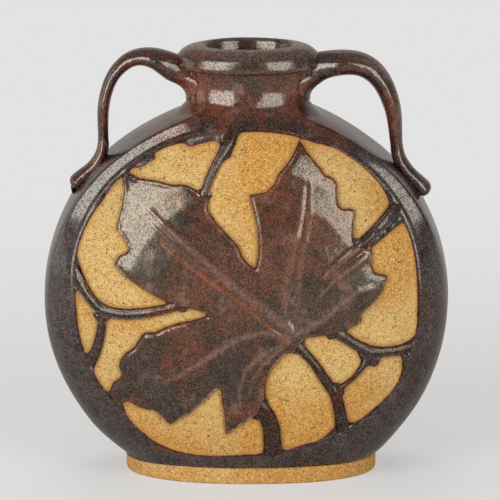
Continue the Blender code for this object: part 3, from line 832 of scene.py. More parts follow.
# %% [markdown]
# ## The back
# The back isn't seen in the photograph, and a flask like this often carries the same
# design on both faces. So each piece of the front is copied with its own mesh and
# turned half round.

# %% Copy the front to the back
def turned_copy(piece, name):
    """A copy with its own mesh, turned half round about the flask's axis."""
    pick(piece)
    bpy.ops.object.duplicate()
    twin = bpy.context.object
    twin.name = name
    bpy.ops.transform.rotate(value=math.pi, orient_axis='Z', center_override=(0, 0, 0))
    apply_place(twin)
    return twin


pieces = {"shell_front": shell_front, "shell_back": turned_copy(shell_front, "shell_back")}
for name, piece in relief.items():
    pieces[name + "_front"] = piece
    pieces[name + "_back"] = turned_copy(piece, name + "_back")
print("pieces of the two faces:", len(pieces))

# %% [markdown]
# ## The neck
# The neck is an oval tube. A circle is drawn out ring by ring, and then each ring is
# laid where it belongs: the wall's rings on the oval, and the flare's on the
# shoulders, which is what a thumb does to soft clay, so no line shows there. At the
# front left the neck's foot lies lower than elsewhere.

# %% Draw up the neck
NECK_HALF_WIDTH = 33.5 * MM
NECK_HALF_DEPTH = 23.5 * MM
NECK_SEGMENTS = 160
NECK_WALL = 6.3 * MM
NECK_MIDDLE = 225 * MM
NECK_RINGS = [(2.2, 233.5), (1.7, 231.0), (1.0, 228.0), (0.5, 225.0), (0.2, 223.4),
              (0.0, 222.2), (0.0, 221.2)]
SIDE_FLARE = 15.0 * MM
FACE_FLARE = 9.0 * MM
FLARE_RINGS = 16
FLARE_PACE = 1.3
FLARE_SINK = 0.6 * MM
SIDE_RISE = 9.5 * MM
FACE_RISE = 10.0 * MM
LOW_SIDE = (-0.43, -0.90)
LOW_START = 225.0 * MM
LOW_DROP = 5.7 * MM
LOW_RISE_LOSS = 0.8
LOW_LEAN = 2.2 * MM
LEAN_PACE = 1.5
SEAM_STEP = 0.1 * MM
OVERHEAD = 0.3


def skin_tree(piece):
    """A search tree over a piece's skin."""
    builder = bmesh.new()
    builder.from_mesh(piece.data)
    tree = BVHTree.FromBMesh(builder)
    builder.free()
    return tree


shell_skins = [skin_tree(pieces[name]) for name in ("shell_front", "shell_back")]


def shoulder_height(x, y):
    """Height of the shoulders over a place of the ground plan."""
    above = [Vector((x, y + step, OVERHEAD)) for step in (-SEAM_STEP, SEAM_STEP)]
    down = Vector((0, 0, -1))
    hits = [skin.ray_cast(place, down)[0] for skin in shell_skins for place in above]
    return max(hit.z for hit in hits if hit is not None)


def neck_point(start, kind, flare, height):
    """Where a point of the round, drawn-out rings lies on the neck."""
    side = start.x ** 2
    low = max(0.0, LOW_SIDE[0] * start.x + LOW_SIDE[1] * start.y) ** 2
    left = 1 - flare
    if kind == "flare":
        flare = flare * (SIDE_FLARE * side + FACE_FLARE * (1 - side)) + LOW_LEAN * low
    else:
        fall = max(0.0, (LOW_START - height) / (LOW_START - NECK_RINGS[-1][1] * MM))
        flare += LOW_LEAN * low * fall ** LEAN_PACE
        height -= LOW_DROP * low * fall
    x = start.x * (NECK_HALF_WIDTH + flare)
    y = start.y * (NECK_HALF_DEPTH + flare)
    if kind == "flare":
        rise = SIDE_RISE * side + FACE_RISE * (1 - side) - LOW_RISE_LOSS * LOW_DROP * low
        fillet = rise * (1 - math.sqrt(1 - left ** 2))
        height = shoulder_height(x + NECK_SHIFT, y) + fillet - FLARE_SINK
    return Vector((x + NECK_SHIFT, y, height))


def build_neck():
    """An oval tube drawn in rings from under the collar out on to the shoulders."""
    bpy.ops.mesh.primitive_circle_add(vertices=NECK_SEGMENTS, radius=1, fill_type='NOTHING',
                                      location=(0, 0, 0))
    neck = bpy.context.object
    neck.name = "neck_wall"
    rings = [("wall", flare * MM, height * MM) for flare, height in NECK_RINGS]
    for ring in range(1, FLARE_RINGS + 1):
        rings.append(("flare", (ring / FLARE_RINGS) ** FLARE_PACE, 0.0))
    open_edit(neck, select=True)
    for _ in rings[1:]:
        bpy.ops.mesh.extrude_region_move()
        bpy.ops.transform.translate(value=(0, 0, -1))
    close_edit()
    for vertex in neck.data.vertices:
        vertex.co = neck_point(vertex.co, *rings[round(-vertex.co.z)])
    neck.data.update()
    face_alike(neck)
    return neck


neck_wall = build_neck()
upper = [face for face in neck_wall.data.polygons if face.center.z > NECK_MIDDLE]
if max(upper, key=lambda face: face.center.x).normal.x < 0:
    neck_wall.data.flip_normals()
neck_skin = skin_tree(neck_wall)
apply_modifier(neck_wall, 'SOLIDIFY', thickness=NECK_WALL, offset=-1)
pieces["neck_wall"] = neck_wall
print("neck:", face_count(neck_wall), "triangles")

# %% [markdown]
# ## The rolled collar
# A slice of the collar is drawn as a plane and its corners are rounded with a bevel.
# Its top slopes down outwards and its inner side leans in towards the foot of the
# mouth. The slice is spun round the mouth, and the ring is squeezed to the mouth's
# oval. The collar's top is painted a lighter mauve, a painted reflection of the pale
# backdrop seen at a grazing angle.

# %% Spin the collar
COLLAR_IN = 24.5
COLLAR_OUT = 41.0
COLLAR_LOW = 232.3
COLLAR_HIGH = 245.8
COLLAR_CORNERS = [(COLLAR_OUT, COLLAR_HIGH, 9.6), (COLLAR_OUT, COLLAR_LOW, 3.0),
                  (COLLAR_IN, COLLAR_LOW, 3.0), (COLLAR_IN, COLLAR_HIGH, 2.8)]
COLLAR_SLOPE = 2.0
MOUTH_TAPER = 3.6
MOUTH_OVAL = 0.70
COLLAR_STEPS = 200
# Strength of the collar top's mauve, a painted reflection of the backdrop.
COLLAR_TOP_SHEEN = 0.55
TOP_GAIN = 2.0
TOP_LOSS = 0.7
CORNER_STEPS = 10
SPIN_WELD = 0.005 * MM


def slice_of(name, inner, outer, low, high, corners):
    """A flat slice in millimetres, standing on the X axis, with rounded corners."""
    bpy.ops.mesh.primitive_plane_add(size=1, rotation=(math.pi / 2, 0, 0),
                                     location=((inner + outer) / 2 * MM, 0, (low + high) / 2 * MM))
    piece = bpy.context.object
    piece.name = name
    piece.scale = ((outer - inner) * MM, (high - low) * MM, 1)
    apply_place(piece)
    for x, z, radius in corners:
        places, _ = flat_places(piece)
        gaps = np.hypot(places[:, 0] - x * MM, places[:, 1] - z * MM)
        edit_some(piece, gaps == gaps.min())
        bpy.ops.mesh.bevel(offset=radius * MM, segments=CORNER_STEPS, affect='VERTICES')
        close_edit()
    return piece


def spin_round(piece, steps):
    """Spin a slice's outline round the upright axis into a closed ring."""
    open_edit(piece, select=True)
    bpy.ops.mesh.delete(type='ONLY_FACE')
    bpy.ops.mesh.select_all(action='SELECT')
    bpy.ops.mesh.spin(steps=steps, angle=2 * math.pi, center=(0, 0, 0), axis=(0, 0, 1))
    bpy.ops.mesh.select_all(action='SELECT')
    bpy.ops.mesh.remove_doubles(threshold=SPIN_WELD)
    bpy.ops.mesh.normals_make_consistent(inside=False)
    close_edit()


collar_roll = slice_of("collar_roll", COLLAR_IN, COLLAR_OUT, COLLAR_LOW, COLLAR_HIGH,
                       COLLAR_CORNERS)
for vertex in collar_roll.data.vertices:
    out = (vertex.co.x / MM - COLLAR_IN) / (COLLAR_OUT - COLLAR_IN)
    rise = (vertex.co.z / MM - COLLAR_LOW) / (COLLAR_HIGH - COLLAR_LOW)
    vertex.co.z -= COLLAR_SLOPE * MM * out * rise
    vertex.co.x -= MOUTH_TAPER * MM * (1 - rise) * (out < 0.5)
spin_round(collar_roll, COLLAR_STEPS)
open_edit(collar_roll, select=True)
bpy.ops.transform.resize(value=(1, MOUTH_OVAL, 1), center_override=(0, 0, 0))
bpy.ops.transform.translate(value=(NECK_SHIFT, 0, 0))
close_edit()
# Upward faces of the collar get a painted reflection, kept as its crest colour.
upward = point_vectors(collar_roll, "normal")[:, 2]
store(collar_roll, "crest", np.clip(upward * TOP_GAIN - TOP_LOSS, 0, 1) * COLLAR_TOP_SHEEN)
pieces["collar_roll"] = collar_roll
print("collar:", face_count(collar_roll), "triangles")

# %% [markdown]
# ## The pulled straps
# A strap is pulled from a lump of wet clay, bent over and pressed on. Each is a curve
# with a thickness at every point, made a mesh and widened front to back. A remesh
# gives it an even skin, and where the root comes close to the neck that skin is
# drawn out sideways, which leaves the hollow of a thumbed joint.

# %% Bend and join the straps
WIDENING = (1.1, 1.9)
WIDENING_SPAN = (36, 56)
STRAPS = {
    "strap_left": [
        (-28.5, 224.5, 7.0), (-34.5, 229.0, 8.4), (-41.4, 232.2, 8.2), (-47.0, 235.2, 7.1),
        (-52.6, 237.4, 5.9), (-59.9, 238.1, 4.8), (-65.6, 236.4, 4.4), (-70.9, 232.5, 4.1),
        (-75.4, 227.0, 3.8), (-78.7, 219.5, 3.6), (-80.8, 209.2, 3.5), (-81.1, 201.4, 3.3),
        (-81.0, 192.6, 3.1), (-81.2, 185.8, 3.5), (-83.6, 179.2, 3.8), (-88.5, 173.2, 3.8),
        (-93.6, 169.0, 4.1), (-96.4, 165.8, 4.8), (-98.4, 163.8, 3.0)],
    "strap_right": [
        (30, 224.5, 7.2), (35.5, 229.0, 8.6), (40.3, 232.2, 8.4), (46.0, 233.9, 7.7),
        (52.7, 234.8, 7.2), (58.9, 234.8, 6.9), (65.6, 233.3, 6.6), (71.3, 229.9, 6.3),
        (75.3, 225.7, 6.0), (78.6, 220.3, 5.6), (81.2, 213.7, 5.2), (83.1, 206.7, 4.7),
        (84.3, 196.6, 4.0), (85.1, 188.0, 3.6), (86.3, 181.0, 4.0), (89.5, 174.6, 4.1),
        (94.0, 169.2, 4.1), (98.3, 165.0, 4.4), (101.2, 161.8, 4.8), (103.2, 159.8, 3.0)],
}
STRAP_SKIN = (0.85 * MM, 8)
JOINT_STROKES = 3
NECK_FILLET = 7.5 * MM
SKIN_REACH = 10.0 * MM
FILLET_TOP = 226.0
FILLET_END = 231.0


def flare_on_to(piece, skin, fillet):
    """Widen a piece where it comes close to another's skin, as a thumbed joint does."""
    normals = [Vector(normal) for normal in point_vectors(piece, "normal")]
    for vertex, normal in zip(piece.data.vertices, normals):
        place, outward, _, _ = skin.find_nearest(vertex.co, SKIN_REACH)
        if place is None:
            continue
        height = (vertex.co - place).dot(outward)
        near = 1 - min(max(height / fillet, 0.0), 1.0)
        near *= 1 - ease(vertex.co.z / MM, FILLET_TOP, FILLET_END)
        sideways = normal - outward * normal.dot(outward)
        moved = vertex.co + sideways * fillet * (1 - math.sqrt(1 - near ** 2))
        place, outward, _, _ = skin.find_nearest(moved)
        vertex.co = moved + outward * (height - (moved - place).dot(outward))
    piece.data.update()


def bend_strap(name, line):
    """A tube along a drawn line of x, z and half thickness, widened front to back."""
    bpy.ops.curve.primitive_bezier_curve_add(location=(0, 0, 0))
    strap = bpy.context.object
    strap.name = name
    curve = strap.data
    curve.bevel_depth = 1.0
    curve.bevel_resolution = 6
    curve.use_fill_caps = True
    curve.resolution_u = 8
    points = curve.splines[0].bezier_points
    points.add(len(line) - len(points))
    for point, (x, z, half) in zip(points, line):
        point.co = (x * MM, 0, z * MM)
        point.radius = half * MM
        point.handle_left_type = 'AUTO'
        point.handle_right_type = 'AUTO'
    bpy.context.view_layer.update()
    pick(strap)
    bpy.ops.object.convert(target='MESH')
    for vertex in strap.data.vertices:
        vertex.co.y *= between(WIDENING, ease(abs(vertex.co.x) / MM, *WIDENING_SPAN))
    strap.data.update()
    return strap


for name, line in STRAPS.items():
    strap = bend_strap(name, line)
    melt(strap, *STRAP_SKIN)
    flare_on_to(strap, neck_skin, NECK_FILLET)
    smooth(strap, JOINT_STROKES)
    pieces[name] = strap
    print(name, face_count(strap), "triangles")

# %% [markdown]
# ## The foot ring
# The foot is a low ring with the outline of a rounded box. Its slice is rounded and
# spun like the collar's, and the round ring is then laid along that outline.

# %% Spin the foot and lay it along its outline
FOOT_HALF_WIDTH = 71.5 * MM
FOOT_HALF_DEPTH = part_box("foot_ring")[1].y
FOOT_SHIFT = 1.5 * MM
FOOT_SQUARENESS = 2.3
FOOT_TALL = 9.1
FOOT_STEPS = 220
SPIN_OUT = 100.0
SPIN_IN = 82.0
FOOT_CORNERS = [(SPIN_OUT, FOOT_TALL, 1.5), (SPIN_OUT, 0.0, 1.6),
                (SPIN_IN, FOOT_TALL, 0.8), (SPIN_IN, 0.0, 1.6)]


def on_foot_outline(angle, inset):
    """A place of the ground plan inside the foot's outline."""
    width = FOOT_HALF_WIDTH - inset
    depth = FOOT_HALF_DEPTH - inset
    across = math.copysign(abs(math.cos(angle)) ** (2 / FOOT_SQUARENESS), math.cos(angle))
    ahead = math.copysign(abs(math.sin(angle)) ** (2 / FOOT_SQUARENESS), math.sin(angle))
    return width * across + FOOT_SHIFT, depth * ahead


foot_rim = slice_of("foot_rim", SPIN_IN, SPIN_OUT, 0.0, FOOT_TALL, FOOT_CORNERS)
spin_round(foot_rim, FOOT_STEPS)
for vertex in foot_rim.data.vertices:
    inset = SPIN_OUT * MM - math.hypot(vertex.co.x, vertex.co.y)
    turn = math.atan2(vertex.co.y, vertex.co.x)
    vertex.co.x, vertex.co.y = on_foot_outline(turn, inset)
foot_rim.data.update()
pieces["foot_rim"] = foot_rim
print("foot:", face_count(foot_rim), "triangles")

# %% [markdown]
# ## Where the kiln was kind
# Iron glaze comes out redder in some places and blue-black in others, and the bare
# clay more orange where the flame licked it. Those places are soft round spots, kept
# as numbers on the points of every piece, for the finishes to read. The cool spot on
# the leaf's lower lobe is partly cooler glaze and partly a painted grey reflection of
# the floor. Each kind of piece also has its own redness. From the halves to the neck
# it grows with height.

# %% Warm and orange places
WARM_PLACES = [(-27, 224, 10, 1.9), (1, 222, 10, 0.6), (27, 222, 9, 1.2), (-10, 122, 30, 0.8),
               (20, 155, 22, 0.7), (-38, 62, 14, 0.5), (-62, 160, 18, -1.0), (-38, 156, 8, -1.6),
               (-70, 126, 9, -1.3), (70, 112, 15, -1.1), (60, 95, 12, -1.1), (-4, 42, 14, -0.8),
               (42, 160, 10, -0.4), (-20, 190, 10, -1.2), (-42, 46, 13, -1.6), (15, 60, 14, -0.6),
               (2, 79, 12, 0.9), (-48, 206, 15, 1.4), (52, 206, 17, 1.6), (-80, 195, 14, 0.8)]
RUST_PLACES = [(-28, 221, 8, 0.60), (28, 222, 7, 0.40), (-14, 213, 6, 0.25), (14, 228, 7, 0.20),
               (60, 233, 7, 0.20), (84, 205, 8, 0.25), (-80, 215, 8, 0.15)]
COLLAR_RIM = (234.0, 0.9)
COLLAR_RIM_WEAR = 0.32
# A cool spot on the leaf's lower lobe: partly cooler glaze, partly a painted grey floor reflection.
COOL_AND_SHEEN_PLACES = [(-45, 50, 26, 0.9)]
REDNESS = {"shell": -0.9, "stem": -0.6, "leaf": 0.4, "strap": 0.1, "collar": -0.25}
NECK_REDNESS = 0.4
REDDENING = (190, 214)
ORANGE_PLACES = [(12, 188, 34, 1.3), (86, 135, 30, 1.0), (20, 2, 45, 1.1), (65, 2, 35, 1.1),
                 (-90, 110, 16, 0.4), (45, 60, 24, 0.2), (-60, 2, 30, 1.1)]


def spots_on(points, spots):
    """Sum of soft round spots on the front, turned half round for the back."""
    total = np.zeros(len(points))
    across = points[:, 0] * np.where(points[:, 1] > 0, -1, 1)
    for x, z, size, strength in spots:
        squared = (across / MM - x) ** 2 + (points[:, 2] / MM - z) ** 2
        total += strength * np.exp(-squared / size ** 2)
    return total


for name, piece in pieces.items():
    _, points = flat_places(piece)
    kind = name.split("_")[0]
    height = points[:, 2] / MM
    redness = np.full(len(points), REDNESS.get(kind, 0.0))
    if kind in ("shell", "neck"):
        redness = between((REDNESS["shell"], NECK_REDNESS), ease(height, *REDDENING))
    if kind == "leaf":
        redness -= spots_on(points, COOL_AND_SHEEN_PLACES)
    store(piece, "redness", redness)
    store(piece, "warm", spots_on(points, WARM_PLACES))
    store(piece, "orange", spots_on(points, ORANGE_PLACES))
    if kind in ("neck", "collar", "strap"):
        rim = bell(height, *COLLAR_RIM) * COLLAR_RIM_WEAR * (kind == "collar")
        store(piece, "thin", np.minimum(spots_on(points, RUST_PLACES) + rim, 1.0))
print("warm places:", len(WARM_PLACES), "orange places:", len(ORANGE_PLACES))

# %% [markdown]
# ## The hand in it
# Nothing on a hand-built flask is true. The shoulders sit lower than a circle, the
# body leans to the right over its foot, and the skin wavers. One gentle warp is laid
# over all the pieces together, so that they still meet. The waver's noise starts from
# a fixed number, so it is the same each time, and it is set back by its own size, so
# that the flask stays inside the box of its solids.

# %% Warp all the pieces as one
SHOULDER_DROP = 2.3 * MM
SHOULDER_ANGLE = 57.0
SHOULDER_SPREAD = 19.0
SHOULDER_BAND = (0.86, 1.0)
BEYOND_BODY = (1.05, 1.20)
OVER_FOOT = (9.0, 9.5)
BASE_SPAN = (9.5, 28)
BODY_SPAN = (35, 75)
BODY_LEAN = 0.9
BASE_LEAN = 1.6
FOOT_LEAN = 0.2
LEAN_INSIDE = (0.6, 0.9)
SHADE_ANGLE = 50
WAVER = 0.28 * MM
WAVER_SCALE = 38.0
WAVER_SEED = 3
noise.seed_set(WAVER_SEED)


def hand_made(point, shoulder_drop):
    """Where a point of the true flask lies on the hand-made one."""
    up = point.z - BODY_CENTRE
    reach = math.hypot(point.x, up)
    share = reach / BODY_RADIUS
    angle = math.degrees(math.atan2(up, abs(point.x)))
    drop = math.exp(-((angle - SHOULDER_ANGLE) / SHOULDER_SPREAD) ** 2)
    drop *= ease(share, *SHOULDER_BAND) * (1 - ease(share, *BEYOND_BODY))
    moved = Vector(point)
    if reach > 0:
        moved.x -= point.x / reach * shoulder_drop * drop
        moved.z -= up / reach * shoulder_drop * drop
    height = point.z / MM
    over_foot = ease(height, *OVER_FOOT)
    lean = BODY_LEAN * (1 - ease(height, *BODY_SPAN))
    lean += BASE_LEAN * (1 - ease(height, *BASE_SPAN)) * over_foot
    lean += FOOT_LEAN * (1 - over_foot)
    moved.x += lean * MM * ease(share, *LEAN_INSIDE)
    waver = noise.noise_vector(point * WAVER_SCALE) * WAVER
    waver -= Vector((point.x, point.y * 1.5, up)).normalized() * WAVER
    waver.z *= ease(height, 0.0, 6.0)
    return moved + waver


for name, piece in pieces.items():
    shoulder_drop = 0.0 if name.startswith("strap") else SHOULDER_DROP
    for vertex in piece.data.vertices:
        vertex.co = hand_made(vertex.co, shoulder_drop)
    piece.data.update()
    pick(piece)
    bpy.ops.object.shade_smooth_by_angle(angle=math.radians(SHADE_ANGLE))
widest = max(vertex.co.x for vertex in pieces["shell_front"].data.vertices)
print("widest now:", round(widest / MM, 1), "mm")

# %% [markdown]
# ## A bench for finishes
# Every finish is a Principled shader fed by procedural textures. All textures read
# Object coordinates, so glaze runs on from one piece to the next without a break.
# The first helpers add a node and set or join its inputs, and the others stand for
# one kind of node or a few that work together.

# %% Helpers for finishes
def start_finish(name):
    """An empty material: its tree, its shader and the place on the object."""
    finish = bpy.data.materials.new(name)
    finish.use_nodes = True
    tree = finish.node_tree
    tree.nodes.clear()
    output = tree.nodes.new('ShaderNodeOutputMaterial')
    shader = tree.nodes.new('ShaderNodeBsdfPrincipled')
    tree.links.new(shader.outputs['BSDF'], output.inputs['Surface'])
    place = tree.nodes.new('ShaderNodeTexCoord').outputs['Object']
    return finish, tree, shader, place


def feed(tree, socket, value):
    """Join a socket to another, or set it to a number or colour."""
    if isinstance(value, bpy.types.NodeSocket):
        tree.links.new(value, socket)
    else:
        socket.default_value = value


def set_inputs(tree, node, inputs):
    """Join or set some of a node's inputs, given by name or number."""
    for socket, value in inputs.items():
        feed(tree, node.inputs[socket], value)


def add_node(tree, kind, inputs):
    """Add a node with these inputs."""
    node = tree.nodes.new(kind)
    set_inputs(tree, node, inputs)
    return node


def grain(tree, place, scale, detail=4.0, roughness=0.5, warp=0.0):
    """Smooth random grain between 0 and 1; scale in grains a metre."""
    texture = add_node(tree, 'ShaderNodeTexNoise', {
        'Vector': place, 'Scale': scale, 'Detail': detail, 'Roughness': roughness,
        'Distortion': warp})
    return texture.outputs['Fac']


def span(tree, value, low, high, first=0.0, last=1.0, smooth=True):
    """Carry a value from one span to another, held at both ends."""
    carry = add_node(tree, 'ShaderNodeMapRange', {
        'Value': value, 'From Min': low, 'From Max': high, 'To Min': first, 'To Max': last})
    carry.interpolation_type = 'SMOOTHSTEP' if smooth else 'LINEAR'
    return carry.outputs['Result']


def sums(tree, operation, first, second):
    """One sum of two values."""
    step = add_node(tree, 'ShaderNodeMath', {0: first, 1: second})
    step.operation = operation
    return step.outputs['Value']


def plus(tree, first, second):
    """One value added to another."""
    return sums(tree, 'ADD', first, second)


def times(tree, first, second):
    """One value times another."""
    return sums(tree, 'MULTIPLY', first, second)


def blend_colours(tree, share, first, second):
    """Two colours mixed by a share."""
    mixer = tree.nodes.new('ShaderNodeMix')
    mixer.data_type = 'RGBA'
    feed(tree, mixer.inputs['Factor'], share)
    for socket, value in zip((mixer.inputs[6], mixer.inputs[7]), (first, second)):
        feed(tree, socket, value if isinstance(value, bpy.types.NodeSocket) else (*value, 1.0))
    return mixer.outputs[2]


def lay_over(tree, colour, layers):
    """A colour with others laid over it in turn, each by its share."""
    for share, over in layers:
        colour = blend_colours(tree, share, colour, over)
    return colour


def kept_value(tree, name):
    """A number kept on the piece's points."""
    attribute = tree.nodes.new('ShaderNodeAttribute')
    attribute.attribute_name = name
    return attribute.outputs['Fac']


def crystals(tree, place, scale):
    """Three random numbers for every crystal, 0 to 1; scale in crystals a metre."""
    texture = add_node(tree, 'ShaderNodeTexVoronoi', {'Vector': place, 'Scale': scale})
    parts = add_node(tree, 'ShaderNodeSeparateColor', {'Color': texture.outputs['Color']})
    return parts.outputs[0], parts.outputs[1], parts.outputs[2]


def relief_of(tree, heights, shader):
    """Feed the shader's normal with a chain of heights in metres."""
    normal = None
    for height, distance in heights:
        bump = add_node(tree, 'ShaderNodeBump', {
            'Height': height, 'Distance': distance, 'Strength': 1.0})
        if normal is not None:
            tree.links.new(normal, bump.inputs['Normal'])
        normal = bump.outputs['Normal']
    tree.links.new(normal, shader.inputs['Normal'])


print("finish helpers ready")

# %% [markdown]
# ## The iron glaze
# The glaze is black-brown where it lies thick and breaks to rust where it pulls thin
# over an edge. Red-brown clouds and patches of a mauve bloom wander through it. The
# same mauve lies on the leaf's crests, partly as worn glaze and partly as a painted
# sheen, and on the collar's top as a painted reflection of the backdrop. Pin-sized
# dark and rusty crystals give it its pepper look, and pale grey pins are painted
# glints. The stems shine less than the leaf, and the low ones least.

# %% Glaze colours
BLACK_BROWN = (0.011, 0.007, 0.006)
COOL_BLACK = (0.036, 0.022, 0.022)
SLATE = (0.052, 0.041, 0.041)
RED_BROWN = (0.105, 0.018, 0.007)
BROWN = (0.034, 0.013, 0.008)
RUST = (0.25, 0.060, 0.016)
MAUVE = (0.23, 0.122, 0.096)
SPARK = (0.25, 0.080, 0.032)
PIN_BLACK = (0.003, 0.002, 0.002)
# Pale grey of the pins that stand in as painted glints of the lights.
PAINTED_GLINT = (0.25, 0.19, 0.16)
LEAF_TINT = (1.0, 0.92, 0.72)
NECK_TINT = (1.0, 0.91, 0.78)
BODY_TINT = (1.0, 0.94, 0.84)
CRYSTAL = 2000
GLAZE_IOR = 1.90
STEM_SHINE = 0.65
LOW_STEM_SHINE = 0.42
BODY_SHINE = 0.85


def glaze_colour(tree, place, thin):
    """The glaze's colour from its clouds, crystals, thin places, painted crest sheen and painted
    glints.
    """
    redness = kept_value(tree, "redness")
    dark = blend_colours(tree, span(tree, redness, -0.6, 0.2), SLATE, COOL_BLACK)
    spark_chance, pin_chance, glint_chance = crystals(tree, place, CRYSTAL)
    drift = span(tree, grain(tree, place, 34, 4, 0.55, 0.5), 0.30, 0.70, 0.22, 0.78, smooth=False)
    clouds = plus(tree, drift, times(tree, redness, 0.2))
    clouds = plus(tree, clouds, times(tree, kept_value(tree, "warm"), 0.16))
    mottle = grain(tree, place, 170, 3, 0.6)
    bloom = grain(tree, place, 80, 4, 0.65)
    patchy = span(tree, redness, -0.9, 0.3, 0.25, 0.60)
    few_sparks = span(tree, clouds, 0.30, 0.75, 0.18, 0.65)
    break_up = grain(tree, place, 420, 3, 0.7)
    crest_wear_and_sheen = span(tree, break_up, 0.35, 0.65, 0.6, 1.3)
    worn_thin = span(tree, break_up, 0.35, 0.62, 0.2, 1.4)
    pin_depth = span(tree, redness, -0.6, 0.5, 0.90, 0.60)
    return lay_over(tree, dark, [
        (span(tree, clouds, 0.30, 0.56), BLACK_BROWN),
        (span(tree, clouds, 0.44, 0.70), RED_BROWN),
        (span(tree, mottle, 0.50, 0.72, 0.0, 0.7), BROWN),
        (span(tree, mottle, 0.50, 0.34, 0.0, 0.85), PIN_BLACK),
        (times(tree, span(tree, bloom, 0.52, 0.68), patchy), MAUVE),
        (times(tree, span(tree, bloom, 0.48, 0.32), patchy), PIN_BLACK),
        (times(tree, span(tree, spark_chance, 0.60, 1.0), few_sparks), SPARK),
        # Mauve on crests: partly worn glaze and partly a painted sheen, and a painted reflection on
        # the collar's top.
        (times(tree, kept_value(tree, "crest"), crest_wear_and_sheen), MAUVE),
        (times(tree, thin, worn_thin), RUST),
        # Pale grey pins: painted glints.
        (span(tree, glint_chance, 0.82, 1.0, 0.0, 0.36), PAINTED_GLINT),
        (times(tree, span(tree, pin_chance, 0.40, 0.90), pin_depth), PIN_BLACK),
    ])


def glaze_roughness(tree, place):
    """Glossy glaze with duller crystals."""
    return span(tree, crystals(tree, place, CRYSTAL)[1], 0.2, 0.9, 0.11, 0.24)


def glaze_shine(tree, place, strength=1.0):
    """Strength of the glaze's mirror: the dark pins don't shine."""
    pins = crystals(tree, place, CRYSTAL)[1]
    return span(tree, pins, 0.35, 0.95, 0.66 * strength, 0.24 * strength)


def glaze_heights(tree, place):
    """The glaze's orange peel and its crystals, in metres."""
    swell = grain(tree, place, 50, 2, 0.5)
    peel = grain(tree, place, 160, 2, 0.5)
    pepper = grain(tree, place, 1100, 2, 0.6)
    return [(swell, 0.45 * MM), (peel, 0.14 * MM), (pepper, 0.05 * MM)]


def glaze_finish(name, tint, strength=1.0):
    """A finish that is glaze all over."""
    finish, tree, shader, place = start_finish(name)
    set_inputs(tree, shader, {
        'Base Color': glaze_colour(tree, place, kept_value(tree, "thin")),
        'Roughness': glaze_roughness(tree, place),
        'Specular IOR Level': glaze_shine(tree, place, strength),
        'IOR': GLAZE_IOR,
        'Specular Tint': (*tint, 1)})
    relief_of(tree, glaze_heights(tree, place), shader)
    return finish


neck_glaze = glaze_finish("neck glaze", NECK_TINT)
strap_glaze = glaze_finish("strap glaze", BODY_TINT)
leaf_glaze = glaze_finish("leaf glaze", LEAF_TINT)
stem_glaze = glaze_finish("stem glaze", LEAF_TINT, STEM_SHINE)
low_stem_glaze = glaze_finish("low stem glaze", LEAF_TINT, LOW_STEM_SHINE)
glazes = (neck_glaze, strap_glaze, leaf_glaze, stem_glaze, low_stem_glaze)
print("glazes mixed:", [glaze.name for glaze in glazes])

# %% [markdown]
# ## Bare clay
# The clay is a sandy, iron-bearing stoneware. Bare of glaze it fires ochre, with fine
# sand, small iron specks, and an orange flush close to the glaze.

# %% Clay colours
OCHRE = (0.565, 0.370, 0.134)
OCHRE_DARK = (0.15, 0.072, 0.022)
OCHRE_WARM = (0.52, 0.250, 0.050)
OCHRE_LIGHT = (0.78, 0.56, 0.25)
FLUSH = (0.34, 0.15, 0.045)
IRON_SPECK = (0.07, 0.03, 0.015)
SAND = 1650
IRON_SPOTS = 85


def iron_spots(tree, place):
    """A few round spots of melted iron, 0 to 1."""
    texture = add_node(tree, 'ShaderNodeTexVoronoi', {'Vector': place, 'Scale': IRON_SPOTS})
    return span(tree, texture.outputs['Distance'], 0.035, 0.075, 0.85, 0.0)


def clay_colour(tree, place, flush):
    """Sandy ochre with specks; the flush is 1 where the glaze is near."""
    fire = times(tree, kept_value(tree, "orange"), 0.25)
    warm = span(tree, plus(tree, grain(tree, place, 26, 4, 0.6, 0.3), fire), 0.46, 0.78)
    dark_grain, light_grain, _ = crystals(tree, place, SAND)
    sandy = span(tree, grain(tree, place, 260, 3, 0.6), 0.3, 0.7, 0.5, 1.0)
    specks = span(tree, grain(tree, place, 330, 2, 0.6), 0.715, 0.745, 0.0, 0.85)
    return lay_over(tree, OCHRE, [
        (warm, OCHRE_WARM),
        (times(tree, span(tree, dark_grain, 0.52, 1.0), sandy), OCHRE_DARK),
        (span(tree, light_grain, 0.60, 1.0, 0.0, 0.6), OCHRE_LIGHT),
        (flush, FLUSH),
        (sums(tree, 'MAXIMUM', specks, iron_spots(tree, place)), IRON_SPECK),
    ])


def clay_finish(name):
    """A finish that is bare clay all over."""
    finish, tree, shader, place = start_finish(name)
    flush = span(tree, grain(tree, place, 60, 3, 0.6), 0.55, 0.85, 0.0, 0.6)
    set_inputs(tree, shader, {
        'Base Color': clay_colour(tree, place, flush), 'Roughness': 0.9, 'IOR': 1.45})
    relief_of(tree, [(grain(tree, place, 1300, 2, 0.6), 0.15 * MM)], shader)
    return finish


bare_clay_finish = clay_finish("bare clay")
print("clay mixed:", bare_clay_finish.name)

# %% [markdown]
# ## The body's finish
# The halves carry both: glaze, and bare clay where the kept number says so. Grain
# added to that number makes the glaze line wander, and a narrow span makes it crisp.
# Along the line the glaze is thin and rusty.

# %% Glaze line of the body
WANDER = 0.9
LINE = 0.12


